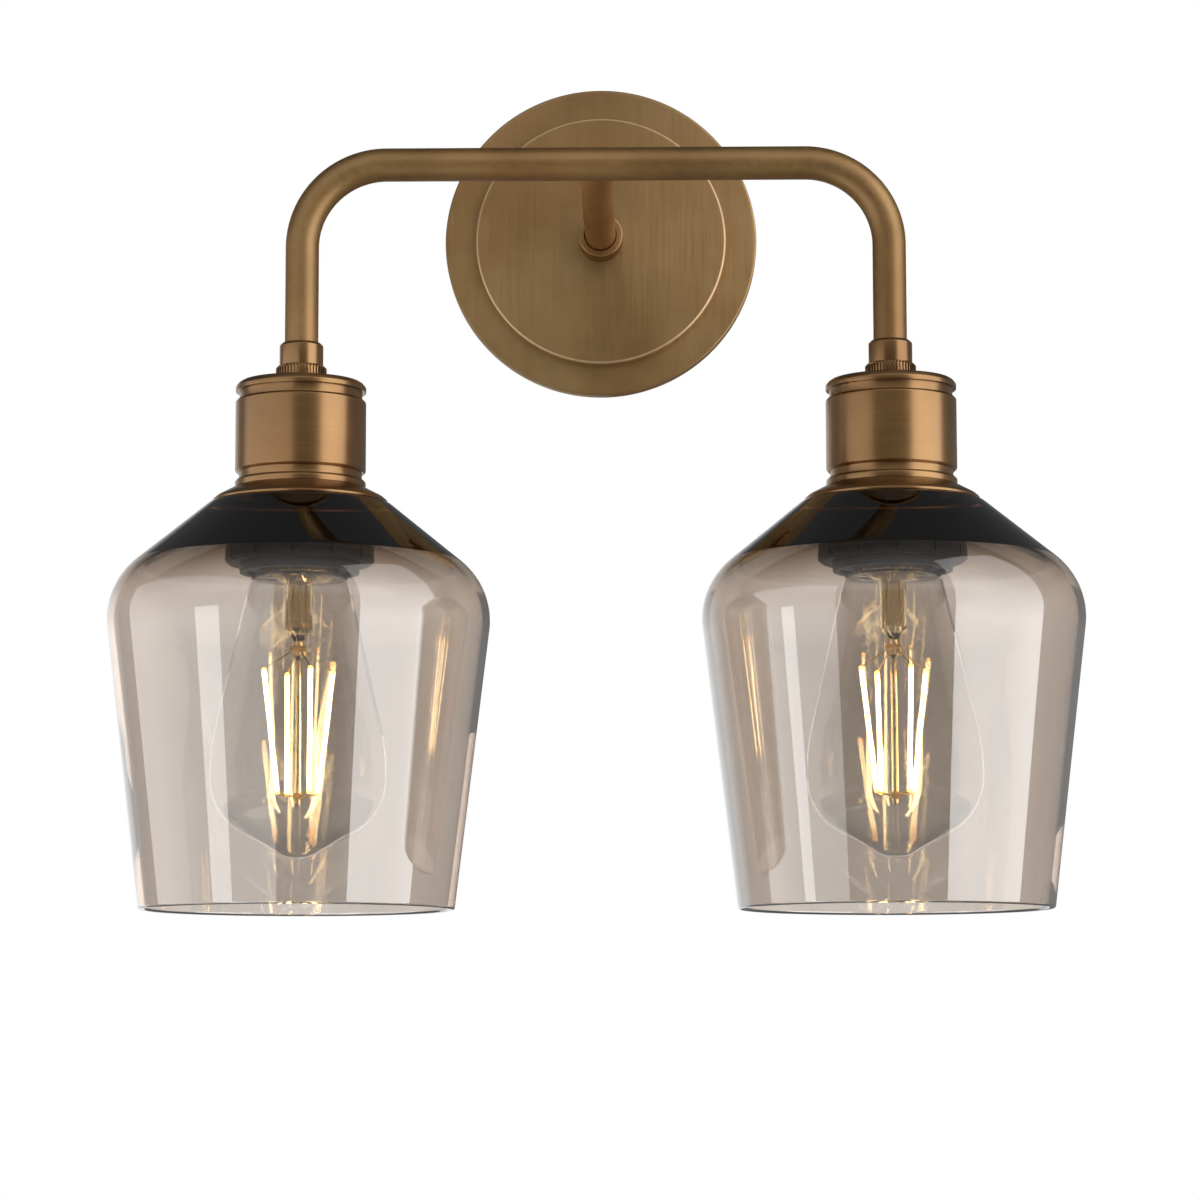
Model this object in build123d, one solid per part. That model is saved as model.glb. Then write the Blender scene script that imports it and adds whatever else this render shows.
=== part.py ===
from build123d import *
import os
from math import cos, radians, sin, sqrt

# Double arm wall sconce, in millimetres. The wall is the plane Y = 0, the light stands out
# towards -Y, Z is up, and the origin is the centre of the bracket's face on the wall.

# ---- overall layout ------------------------------------------------------------------
ARM_SPACING = 220.0        # between the two lights' axes
ARM_REACH = 140.0          # wall to the axis of the lights
THREAD_GAP = 0.05          # radial play of a thread or a brazed sleeve
RUNNING_GAP = 0.10         # radial play where a piece is meant to turn or slide
SEAT_GAP = 0.20            # between flat faces that meet in use and come apart
WIRE_PORT_GAP = 0.30       # radial play of a wire in its terminal hole

# ---- wall bracket --------------------------------------------------------------------
BRACKET_WIDTH = 22.0
BRACKET_THICKNESS = 1.5
BRACKET_HUB_R = 26.0       # round middle of the strip
BRACKET_WINDOW_R = 20.5    # the house wiring comes through here
BOX_SCREW_SPACING = 88.9
BOX_SLOT_R = 2.4           # half the slot's width
BOX_SLOT_LENGTH = 14.0
EAR_HEIGHT = 3.0           # ears at the ends, which the side screws pass through
EAR_WIDTH = 12.0
EAR_GAP = 2.3              # ears to the inside of the backplate's rim
SIDE_SCREW_R = 1.5
SIDE_SCREW_LINE = 2.7      # off the wall
SIDE_SCREW_TIP = 0.5       # shows inside the ear
SIDE_SCREW_SINK = 0.1
SIDE_SCREW_SOCKET_R = 0.87
SIDE_SCREW_SOCKET_DEPTH = 1.6
EARTH_SCREW_X = -31.0
EARTH_SCREW_R = 1.95
EARTH_SCREW_HEAD_R = 3.5
EARTH_SCREW_HEAD_HEIGHT = 2.2
EARTH_SCREW_SLOT_WIDTH = 0.9
EARTH_SCREW_SLOT_DEPTH = 1.0

# ---- backplate, raised disc and collar -------------------------------------------------
PLATE_R = 64.0
PLATE_DEPTH = 6.0
PLATE_WALL = 1.2
PLATE_EDGE_ROUND = 0.8
PLATE_WINDOW_R = 46.0      # opening behind the raised disc
DISC_R = 51.3
DISC_RISE = 3.2            # how far the disc stands off the plate
DISC_WALL = 1.0
DISC_BEVEL = 0.5
COLLAR_R = 9.1
COLLAR_HEIGHT = 10.4
COLLAR_BASE = 3.0          # floor of the collar, which the stem butts on
COLLAR_MOUTH_GAP = 0.35    # shadow gap round the stem
COLLAR_BEVEL = 0.5

# ---- stem and arm tube ------------------------------------------------------------------
TUBE_R = 6.25
TUBE_WALL = 1.2
ARM_BEND_R = 31.5          # centre line
ARM_WIRE_HOLE_R = 4.2      # where the wires pass from the stem into the arm
STEM_NIPPLE_GRIP = 12.0    # thread held inside the stem
NIPPLE_BORE_R = 3.75
NUT_FLATS = 14.0
NUT_THICKNESS = 2.4
NUT_THREAD_SHOW = 0.4      # nipple standing out of the nut

# ---- lampholder end of each arm, heights along Z --------------------------------------
COUPLER_TOP = -68.1
ARM_END = -76.8
COUPLER_R = 8.15
COUPLER_BEVEL = 1.1
ARM_NIPPLE_GRIP = 14.0     # thread held inside the arm
LOCK_RING_R = 9.5
LOCK_RING_HEIGHT = 4.0
LOCK_RING_BEVEL = 1.0
KNURL_COUNT = 44
KNURL_WIDTH = 0.7
KNURL_DEPTH = 0.5

# ---- cup -------------------------------------------------------------------------------
CUP_R = 24.3
CUP_GROOVE_R = 22.85
CUP_BORE_R = 21.6
CUP_CROWN = 2.45           # rise of the cup's top from its rounded edge to the ring
CUP_EDGE_IN = 1.9          # the rounded top edge, across and down
CUP_EDGE_DOWN = 1.85
CUP_CEILING = 3.4          # thickness of the top at the nipple
CUP_TOP_BEAD = 1.75
CUP_BEAD_BEVEL = 0.8
CUP_GROOVE = 3.15
CUP_BODY = 25.7
CUP_LOWER_GROOVE = 2.8
CUP_LOWER_BEAD = 2.2
CUP_FOOT_BEVEL = 0.35
CUP_CORNER_BEVEL = 1.6     # inside the top corner

# ---- gallery plate over the shade -------------------------------------------------------
GALLERY_FLAT_R = 24.6
GALLERY_SLOPE_R = 31.0
GALLERY_SLOPE_DROP = 3.4
GALLERY_R = 32.5
GALLERY_EDGE_DROP = 4.7    # top of the gallery to the start of its turned down edge
GALLERY_HEIGHT = 5.6
GALLERY_WALL = 1.2
GALLERY_HOLE_GAP = 0.25

# ---- lampholder ----------------------------------------------------------------------
HOLDER_CAP_R = 19.0
HOLDER_CAP_HEIGHT = 20.0
HOLDER_CAP_CROWN_R = 14.0
HOLDER_CAP_CROWN_DROP = 4.2
HOLDER_CAP_WALL = 2.2
HOLDER_BOSS_R = 8.5
HOLDER_BOSS_DEPTH = 8.0
HOLDER_R = 19.75           # threaded skirt
HOLDER_HEIGHT = 48.1
HOLDER_UPPER_BORE_R = 16.8
HOLDER_LOWER_BORE_R = 15.0
HOLDER_MOUTH_BEVEL = 0.8
LEDGE_DEPTH = 16.7         # from the skirt's top to the ledge under the contact block
LEDGE_THICKNESS = 2.4
LEDGE_HOLE_R = 14.3
BLOCK_HEIGHT = 8.5
BLOCK_BOSS_R = 7.0
BLOCK_BOSS_HEIGHT = 3.0
TERMINAL_OFFSET = 9.0
TERMINAL_SCREW_R = 1.4
TERMINAL_SCREW_DROP = 3.6  # below the block's top
TERMINAL_HEAD_R = 2.3
TERMINAL_HEAD_LENGTH = 1.8
TERMINAL_SINK = 0.6
TERMINAL_TIP_GAP = 0.1      # screw's tip to the wire
TERMINAL_HOLE_DEPTH = 6.5
TERMINAL_SLOT_WIDTH = 0.7
TERMINAL_SLOT_DEPTH = 0.7
WIRE_IN_TERMINAL = 5.5
SHELL_BORE_R = 13.3        # female screw shell for the bulb
SHELL_WALL = 0.5
SHELL_LENGTH = 28.4
SHELL_LIP = 0.5
CONTACT_WIDTH = 5.0
CONTACT_THICKNESS = 0.5
CONTACT_LENGTH = 5.5
CONTACT_POST_R = 1.0
CONTACT_POST_LENGTH = 2.5
CONTACT_PRESS_GAP = 0.25   # contact to the bulb's solder button

# ---- shade ring ------------------------------------------------------------------------
RING_R = 27.85
RING_HEIGHT = 12.6
RING_TOP_BEVEL = 0.9
RING_BOTTOM_BEVEL = 1.5
RING_LIP_R = 22.3
RING_WALL = 2.0
RING_FLOOR = 3.0
RING_LIP_HEIGHT = 3.8
RING_SLOTS = 12
RING_SLOT_WIDTH = 0.8
RING_SLOT_DEPTH = 0.6
RING_SLOT_BACK = 3.0       # how far the slots run up from the ring's lower face

# ---- glass shade -----------------------------------------------------------------------
SHADE_HOLE_R = 20.6
SHADE_TOP_R = 33.6
SHADE_KNEE_R = 72.36       # where the shoulder's line and the wall's line would meet
SHADE_KNEE_DROP = 31.7
SHADE_RIM_R = 57.9
SHADE_HEIGHT = 150.8
SHADE_WALL = 2.6
SHADE_NECK_WALL = 8.5      # the blown neck is left thick, and thins down the shoulder
SHADE_NECK_FLAT_R = 31.0   # flat ground face inside the neck, which the ring bears on
SHADE_NECK_END_R = 58.4    # where the neck has thinned down to the wall
SHADE_TOP_ROUND = 4.0
SHADE_KNEE_ROUND = 28.0

# ---- bulb -------------------------------------------------------------------------------
CAP_HEIGHT = 27.0          # rim to solder button
CAP_PITCH = 3.629
CAP_CREST_R = 13.2
CAP_THREAD_DEPTH = 0.9
CAP_TURNS = 4
CAP_THREAD_LEAD = 0.6
CAP_WALL = 0.4
CAP_SKIRT_R = 13.5
CAP_SKIRT = 4.2
CAP_BELOW_HOLDER = 1.9     # rim of the bulb's cap below the lampholder's mouth
BUTTON_R = 4.8
BUTTON_HEIGHT = 1.8
BUTTON_CROWN_R = 3.0
BUTTON_CROWN_DROP = 0.4
INSULATOR_R = 11.3
INSULATOR_SLOPE = 2.7
INSULATOR_EDGE = 1.1
BULB_NECK_R = 12.7
BULB_NECK_IN_CAP = 3.4
BULB_SHOULDER_R = 18.1     # where the glass has swelled out just below the cap
BULB_SHOULDER_DROP = 1.4
BULB_R = 32.9
BULB_CONE_DROP = 66.4      # cap rim to where the cone's line meets the widest line
BULB_WIDE_DROP = 91.1      # cap rim to where the widest line meets the dome's line
BULB_TIP_R = 9.0
BULB_TIP_DROP = 103.3
BULB_NUB_R = 4.0
BULB_LENGTH = 106.4        # cap rim to the end of the nub
BULB_WALL = 0.8
BULB_NECK_ROUND = 0.9
BULB_SHOULDER_ROUND = 3.0
BULB_CONE_ROUND = 80.0
BULB_DOME_ROUND = 24.0
BULB_TIP_ROUND = 4.0
BULB_NUB_ROUND = 10.0
STEM_FLARE_TOP = 0.8       # flare's edge above the cap's rim
STEM_FLARE_DROP = 5.0
STEM_GLASS_R = 5.0
STEM_GLASS_END = 22.0      # drops below the cap's rim from here on
STEM_BEAD_DROP = 30.0
STEM_BEAD_R = 2.8
STEM_PINCH_R = 1.6
STEM_ROD_R = 1.2
STEM_ROD_END = 86.0
FILAMENT_R = 0.9
FILAMENT_COUNT = 4
FILAMENT_TOP_DROP = 37.0
FILAMENT_END_DROP = 82.0
FILAMENT_TOP_R = 13.4
FILAMENT_END_R = 8.6
FILAMENT_TOP_TURN = 24.0   # degrees
FILAMENT_END_TURN = 34.0
SUPPORT_R = 0.3
SUPPORT_END_DROP = 83.5
DRIVER_WIDTH = 14.0
DRIVER_HEIGHT = 15.0
DRIVER_THICKNESS = 1.2
DRIVER_GAP = 1.0            # under the insulator

# ---- wiring -----------------------------------------------------------------------------
WIRE_R = 0.9
WIRE_OFFSET = 1.3          # the wires lie this far off the tube's centre line
WIRE_EXIT_BEND = 3.2       # out of the stem's nipple, in the shallow plate
WIRE_TEE_BEND = 6.0
WIRE_EASY_BEND = 8.0
WIRE_HOLDER_BEND = 6.0
WIRE_BEHIND_PLATE = 1.4    # wire's centre line from the wall
WIRE_RISE_Z = 19.5         # between these heights the wires cross over the bracket's rim
WIRE_LOW_Z = 14.0
WIRE_BELOW_NIPPLE = 2.0
WIRE_ABOVE_BLOCK = 5.0
CONNECTOR_WIDTH = 12.3
CONNECTOR_LENGTH = 17.8
CONNECTOR_THICKNESS = 5.8
CONNECTOR_SEAT = 0.4       # off the bracket
CONNECTOR_START = 22.0     # mouth of the connector from the stem's axis
CONNECTOR_ROUND = 0.8
PORT_PITCH = 3.9
PORT_DEPTH = 10.0
PORT_R = 1.2
WIRE_IN_PORT = 9.0
LUG_THICKNESS = 0.8
LUG_R = 9.4
SMALL_LUG_R = 4.6
LUG_HOLE_GAP = 0.1
BARREL_R = 1.4
BARREL_LENGTH = 5.5
BARREL_WALL = 0.45
BARREL_LIFT = 0.2          # barrel off the face its ring lies on

# ---- places worked out from the sizes ----------------------------------------------------
BRACKET_LENGTH = 2 * (PLATE_R - PLATE_WALL - EAR_GAP)
SIDE_SCREW_LENGTH = PLATE_WALL + EAR_GAP + BRACKET_THICKNESS + SIDE_SCREW_TIP - SIDE_SCREW_SINK
TUBE_BORE_R = TUBE_R - TUBE_WALL
NIPPLE_R = TUBE_BORE_R - THREAD_GAP
NIPPLE_HOLE_R = NIPPLE_R + THREAD_GAP
DISC_FRONT = PLATE_DEPTH + DISC_RISE
DISC_BACK = DISC_FRONT - DISC_WALL
STEM_SEAT = DISC_FRONT + COLLAR_BASE
NUT_FRONT = DISC_BACK - LUG_THICKNESS
NUT_BACK = NUT_FRONT - NUT_THICKNESS
STEM_NIPPLE_END = NUT_BACK - NUT_THREAD_SHOW
CUP_TOP = ARM_END - LOCK_RING_HEIGHT
CUP_INSIDE_TOP = CUP_TOP - CUP_CEILING
CUP_GROOVE_TOP = CUP_TOP - CUP_CROWN - CUP_EDGE_DOWN - CUP_TOP_BEAD
CUP_BODY_TOP = CUP_GROOVE_TOP - CUP_GROOVE
CUP_BODY_END = CUP_BODY_TOP - CUP_BEAD_BEVEL - CUP_BODY
CUP_LOWER_TOP = CUP_BODY_END - CUP_BEAD_BEVEL
CUP_BEAD_TOP = CUP_LOWER_TOP - CUP_LOWER_GROOVE
CUP_END = CUP_BEAD_TOP - CUP_BEAD_BEVEL - CUP_LOWER_BEAD
HOLDER_TOP = CUP_INSIDE_TOP - RUNNING_GAP
ARM_NIPPLE_END = HOLDER_TOP - HOLDER_BOSS_DEPTH
SKIRT_TOP = HOLDER_TOP - HOLDER_CAP_HEIGHT - RUNNING_GAP
HOLDER_MOUTH = SKIRT_TOP - HOLDER_HEIGHT
LEDGE_TOP = SKIRT_TOP - LEDGE_DEPTH
BLOCK_BOTTOM = LEDGE_TOP + RUNNING_GAP
BLOCK_TOP = BLOCK_BOTTOM + BLOCK_HEIGHT
BLOCK_R = HOLDER_UPPER_BORE_R - RUNNING_GAP
BLOCK_BOSS_END = BLOCK_BOTTOM - BLOCK_BOSS_HEIGHT
GALLERY_END = CUP_END - GALLERY_HEIGHT
SHADE_TOP = GALLERY_END - SEAT_GAP
RING_TOP = SHADE_TOP - SHADE_NECK_WALL - SEAT_GAP
RING_BOTTOM = RING_TOP - RING_HEIGHT
CAP_RIM = HOLDER_MOUTH - CAP_BELOW_HOLDER
BUTTON_TOP = CAP_RIM + CAP_HEIGHT
BUTTON_BOTTOM = BUTTON_TOP - BUTTON_HEIGHT
INSULATOR_BOTTOM = BUTTON_BOTTOM - INSULATOR_SLOPE - INSULATOR_EDGE
CAP_SKIRT_TOP = CAP_RIM + CAP_SKIRT
DRIVER_TOP = INSULATOR_BOTTOM - DRIVER_GAP
CONNECTOR_LINE = BRACKET_THICKNESS + CONNECTOR_SEAT + CONNECTOR_THICKNESS / 2


def outline(points):
    """Closed face from (radius, height) points, in the plane X-Z."""
    return make_face(Polyline(*[(r, 0, z) for r, z in points], close=True))


def turned(*points):
    """Solid turned about Z from (radius, height) points."""
    return revolve(outline(points), Axis.Z)


def inset_corners(points, wall):
    """The same polyline, moved by one wall thickness to its right hand side."""
    moved = []
    for index, point in enumerate(points):
        before = points[max(index - 1, 0)]
        after = points[min(index + 1, len(points) - 1)]
        normals = []
        for start, end in ((before, point), (point, after)):
            length = sqrt((end[0] - start[0]) ** 2 + (end[1] - start[1]) ** 2)
            if length > 0:
                normals.append(((end[1] - start[1]) / length, (start[0] - end[0]) / length))
        side = (sum(n[0] for n in normals), sum(n[1] for n in normals))
        reach = wall * len(normals) / (side[0] ** 2 + side[1] ** 2) * len(normals)
        moved.append((point[0] + side[0] / len(normals) * reach,
                      point[1] + side[1] / len(normals) * reach))
    return moved


def turns_right(points, index):
    """True where the polyline turns right at this corner."""
    (ax, az), (bx, bz), (cx, cz) = points[index - 1:index + 2]
    return (bx - ax) * (cz - bz) - (bz - az) * (cx - bx) < 0


def blown_shell(points, rounds, wall, neck=()):
    """Blown glass turned about Z: outer corners, their radii and the wall, which is even
    unless a thick neck's own corners stand in for the first two corners."""
    inner = inset_corners(points, wall)
    inner_rounds = []
    for number, radius in enumerate(rounds, start=1):
        change = -wall if turns_right(points, number) else wall
        inner_rounds.append(radius + change)
    outside = FilletPolyline(*[(r, 0, z) for r, z in points], radius=rounds)
    if neck:
        inner[:2] = [neck[-1]]
        del inner_rounds[0]
        thick = Polyline(*[(r, 0, z) for r, z in neck])
    inside = FilletPolyline(*[(r, 0, z) for r, z in inner], radius=inner_rounds)
    edges = [outside, inside, Line(outside @ 1, inside @ 1)]
    if neck:
        edges += [thick, Line(outside @ 0, thick @ 0)]
    else:
        edges.append(Line(outside @ 0, inside @ 0))
    return revolve(make_face(edges), Axis.Z)


def along_y(radius, near, far):
    """Round bar on the line X = Z = 0, between two distances from the wall."""
    bar = Cylinder(radius, far - near, align=(Align.CENTER, Align.CENTER, Align.MIN))
    return Plane((0, -near, 0), z_dir=(0, -1, 0)) * bar


def wire_along(radius, points, bends):
    """Round wire along straight runs joined by tangent arcs."""
    route = FilletPolyline(*points, radius=bends)
    return sweep(Plane(route @ 0, z_dir=route % 0) * Circle(radius), path=route)


def rod_between(radius, start, end):
    """Straight round rod between two points."""
    line = Line(start, end)
    return sweep(Plane(start, z_dir=line % 0) * Circle(radius), path=line)


# ---- wall side -------------------------------------------------------------------------
def make_wall_bracket():
    strip = Box(BRACKET_LENGTH, BRACKET_THICKNESS, BRACKET_WIDTH,
                align=(Align.CENTER, Align.MAX, Align.CENTER))
    bracket = strip + along_y(BRACKET_HUB_R, 0, BRACKET_THICKNESS)
    for side in (-1, 1):
        ear = Box(BRACKET_THICKNESS, BRACKET_THICKNESS + EAR_HEIGHT, EAR_WIDTH,
                  align=(Align.CENTER, Align.MAX, Align.CENTER))
        bracket += Pos(side * (BRACKET_LENGTH - BRACKET_THICKNESS) / 2, 0, 0) * ear
        slot = SlotOverall(BOX_SLOT_LENGTH, 2 * BOX_SLOT_R)
        cut = extrude(Plane.XZ * slot, BRACKET_THICKNESS, both=True)
        bracket -= Pos(side * BOX_SCREW_SPACING / 2, 0, 0) * cut
    bracket -= along_y(BRACKET_WINDOW_R, -BRACKET_THICKNESS, 2 * BRACKET_THICKNESS)
    bracket -= side_screw_bore()
    earth_bore = along_y(EARTH_SCREW_R + THREAD_GAP, -BRACKET_THICKNESS, 2 * BRACKET_THICKNESS)
    return bracket - Pos(EARTH_SCREW_X, 0, 0) * earth_bore


def side_screw_bore():
    """The line of the two side screws, through the plate's rim and the bracket's ears."""
    bore = Cylinder(SIDE_SCREW_R + THREAD_GAP, 2 * PLATE_R, rotation=(0, 90, 0))
    room = Box(BRACKET_LENGTH - 4 * BRACKET_THICKNESS, 2 * PLATE_DEPTH, 2 * PLATE_DEPTH)
    return Pos(0, -SIDE_SCREW_LINE, 0) * (bore - room)


def make_side_screws():
    screws = []
    for side in (-1, 1):
        screw = Cylinder(SIDE_SCREW_R, SIDE_SCREW_LENGTH, rotation=(0, 90, 0))
        socket = RegularPolygon(SIDE_SCREW_SOCKET_R, 6)
        centre = side * (PLATE_R - SIDE_SCREW_SINK - SIDE_SCREW_LENGTH / 2)
        head = Plane((side * SIDE_SCREW_LENGTH / 2, 0, 0), z_dir=(-side, 0, 0))
        screw -= extrude(head * socket, SIDE_SCREW_SOCKET_DEPTH)
        screws.append(Pos(centre, -SIDE_SCREW_LINE, 0) * screw)
    return Compound(screws)


def make_earth_screw():
    head_start = BRACKET_THICKNESS + LUG_THICKNESS
    head_end = head_start + EARTH_SCREW_HEAD_HEIGHT
    screw = along_y(EARTH_SCREW_R, 0, head_end) + along_y(EARTH_SCREW_HEAD_R, head_start, head_end)
    for turn in (0, 90):
        slot = Box(2 * EARTH_SCREW_HEAD_R, 2 * EARTH_SCREW_SLOT_DEPTH, EARTH_SCREW_SLOT_WIDTH)
        screw -= Pos(0, -head_end, 0) * Rot(0, turn, 0) * slot
    return Pos(EARTH_SCREW_X, 0, 0) * screw


def make_backplate():
    plate = along_y(PLATE_R, 0, PLATE_DEPTH)
    front_edge = plate.edges().sort_by(Axis.Y)[0]
    plate = fillet(front_edge, PLATE_EDGE_ROUND)
    plate -= along_y(PLATE_R - PLATE_WALL, -PLATE_WALL, PLATE_DEPTH - PLATE_WALL)
    plate -= along_y(PLATE_WINDOW_R, 0, 2 * PLATE_DEPTH)
    return plate - side_screw_bore()


def make_face_disc():
    disc = along_y(DISC_R, PLATE_DEPTH, DISC_FRONT)
    front_edge = disc.edges().sort_by(Axis.Y)[0]
    disc = chamfer(front_edge, DISC_BEVEL)
    disc -= along_y(DISC_R - DISC_WALL, 0, DISC_BACK)
    return disc - along_y(NIPPLE_HOLE_R, 0, 2 * DISC_FRONT)


def make_stem_collar():
    collar_end = DISC_FRONT + COLLAR_HEIGHT
    collar = along_y(COLLAR_R, DISC_FRONT, collar_end)
    front_edge = collar.edges().sort_by(Axis.Y)[0]
    collar = chamfer(front_edge, COLLAR_BEVEL)
    collar -= along_y(TUBE_R + COLLAR_MOUTH_GAP, STEM_SEAT, 2 * collar_end)
    return collar - along_y(NIPPLE_HOLE_R, 0, 2 * DISC_FRONT + COLLAR_BASE)


def make_stem_tube():
    stem = along_y(TUBE_R, STEM_SEAT, ARM_REACH) - along_y(TUBE_BORE_R, 0, ARM_REACH + TUBE_R)
    saddle = Cylinder(TUBE_R + THREAD_GAP, 4 * TUBE_R, rotation=(0, 90, 0))
    return stem - Pos(0, -ARM_REACH, 0) * saddle


def make_stem_nipple():
    length_end = STEM_SEAT + STEM_NIPPLE_GRIP
    nipple = along_y(NIPPLE_R, STEM_NIPPLE_END, length_end)
    return nipple - along_y(NIPPLE_BORE_R, 0, length_end + STEM_NIPPLE_GRIP)


def make_stem_nut():
    hexagon = RegularPolygon(NUT_FLATS / 2, 6, major_radius=False)
    nut = extrude(Plane((0, -NUT_BACK, 0), z_dir=(0, -1, 0)) * hexagon, NUT_THICKNESS)
    return nut - along_y(NIPPLE_HOLE_R, 0, DISC_FRONT)


def lug(ring_r, hole_r, face, barrel_line, reach):
    """Ring terminal lying on a face, with its crimp barrel pointing along +X or -X."""
    body = along_y(ring_r, face, face + LUG_THICKNESS)
    barrel = Cylinder(BARREL_R, BARREL_LENGTH, rotation=(0, 90, 0))
    middle = reach * (ring_r + BARREL_LENGTH / 2 - BARREL_WALL)
    body += Pos(middle, -barrel_line, 0) * barrel
    bore = Cylinder(BARREL_R - BARREL_WALL, BARREL_LENGTH + BARREL_R, rotation=(0, 90, 0))
    body -= Pos(middle + reach * BARREL_R, -barrel_line, 0) * bore
    return body - along_y(hole_r, face - BARREL_R, face + BARREL_R + LUG_THICKNESS)


STEM_BARREL_LINE = DISC_BACK - BARREL_LIFT - BARREL_R
EARTH_BARREL_LINE = BRACKET_THICKNESS + BARREL_LIFT + BARREL_R


def make_earth_lugs():
    at_stem = lug(LUG_R, NIPPLE_R + LUG_HOLE_GAP, NUT_FRONT, STEM_BARREL_LINE, -1)
    hole_r = EARTH_SCREW_R + LUG_HOLE_GAP
    at_screw = lug(SMALL_LUG_R, hole_r, BRACKET_THICKNESS, EARTH_BARREL_LINE, 1)
    return Compound([at_stem, Pos(EARTH_SCREW_X, 0, 0) * at_screw])


def make_earth_wire():
    stem_x = -LUG_R - BARREL_LENGTH / 2
    screw_x = EARTH_SCREW_X + SMALL_LUG_R + BARREL_LENGTH / 2
    third = (stem_x - screw_x) / 3
    route = [(stem_x, -STEM_BARREL_LINE, 0), (stem_x - third, -STEM_BARREL_LINE, 0),
             (screw_x + third, -EARTH_BARREL_LINE, 0), (screw_x, -EARTH_BARREL_LINE, 0)]
    return wire_along(WIRE_R, route, [WIRE_EXIT_BEND, WIRE_EXIT_BEND])


def make_connector(level):
    """Push-in connector above (+1) or below (-1) the stem, its ports facing the stem."""
    body = Box(CONNECTOR_WIDTH, CONNECTOR_THICKNESS, CONNECTOR_LENGTH,
               align=(Align.CENTER, Align.CENTER, Align.MIN))
    body = fillet(body.edges().filter_by(Axis.Z), CONNECTOR_ROUND)
    for port in (-1, 0, 1):
        bore = Cylinder(PORT_R, 2 * PORT_DEPTH)
        body -= Pos(port * PORT_PITCH, 0, 0) * bore
    if level < 0:
        body = Rot(180, 0, 0) * body
    return Pos(0, -CONNECTOR_LINE, level * CONNECTOR_START) * body


def make_supply_wire(side, level):
    """Live (level +1) or neutral (-1) wire from its connector to one lampholder."""
    arm_x = ARM_SPACING / 2
    lane = level * WIRE_OFFSET
    start = (side * PORT_PITCH, -CONNECTOR_LINE, level * (CONNECTOR_START + WIRE_IN_PORT))
    rise = (side * PORT_PITCH, -CONNECTOR_LINE, level * WIRE_RISE_Z)
    low = (side * WIRE_OFFSET, -WIRE_BEHIND_PLATE, level * WIRE_LOW_Z)
    into_stem = (side * WIRE_OFFSET, -WIRE_BEHIND_PLATE, lane)
    into_arm = (side * WIRE_OFFSET, -ARM_REACH, lane)
    arm_corner = (side * (arm_x + lane), -ARM_REACH, lane)
    out_of_nipple = (side * (arm_x + lane), -ARM_REACH, ARM_NIPPLE_END - WIRE_BELOW_NIPPLE)
    over_terminal = (side * (arm_x + level * TERMINAL_OFFSET), -ARM_REACH,
                     BLOCK_TOP + WIRE_ABOVE_BLOCK)
    end = (side * (arm_x + level * TERMINAL_OFFSET), -ARM_REACH, BLOCK_TOP - WIRE_IN_TERMINAL)
    route = [start, rise, low, into_stem, into_arm, arm_corner, out_of_nipple, over_terminal, end]
    bends = [WIRE_EASY_BEND, WIRE_EASY_BEND, WIRE_EXIT_BEND, WIRE_TEE_BEND,
             ARM_BEND_R + lane, WIRE_HOLDER_BEND, WIRE_HOLDER_BEND]
    return wire_along(WIRE_R, route, bends)


# ---- arm -------------------------------------------------------------------------------
def make_arm_tube():
    arm_x = ARM_SPACING / 2
    route = FilletPolyline((-arm_x, -ARM_REACH, ARM_END), (-arm_x, -ARM_REACH, 0),
                           (arm_x, -ARM_REACH, 0), (arm_x, -ARM_REACH, ARM_END),
                           radius=ARM_BEND_R)
    start = Plane(route @ 0, z_dir=route % 0)
    arm = sweep(start * Circle(TUBE_R), path=route)
    arm -= sweep(start * Circle(TUBE_BORE_R), path=route)
    return arm - along_y(ARM_WIRE_HOLE_R, STEM_SEAT, ARM_REACH)


def make_tube_coupler():
    bore = TUBE_R + THREAD_GAP
    return turned((bore, COUPLER_TOP), (COUPLER_R - COUPLER_BEVEL, COUPLER_TOP),
                  (COUPLER_R, COUPLER_TOP - COUPLER_BEVEL), (COUPLER_R, ARM_END), (bore, ARM_END))


def make_arm_nipple():
    top = ARM_END + ARM_NIPPLE_GRIP
    return turned((NIPPLE_BORE_R, top), (NIPPLE_R, top),
                  (NIPPLE_R, ARM_NIPPLE_END), (NIPPLE_BORE_R, ARM_NIPPLE_END))


def make_lock_ring():
    ring = turned((NIPPLE_HOLE_R, ARM_END), (LOCK_RING_R - LOCK_RING_BEVEL, ARM_END),
                  (LOCK_RING_R, ARM_END - LOCK_RING_BEVEL), (LOCK_RING_R, CUP_TOP),
                  (NIPPLE_HOLE_R, CUP_TOP))
    flute = Box(2 * KNURL_DEPTH, KNURL_WIDTH, 3 * LOCK_RING_HEIGHT)
    return ring - PolarLocations(LOCK_RING_R, KNURL_COUNT) * (Pos(0, 0, ARM_END) * flute)


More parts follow.
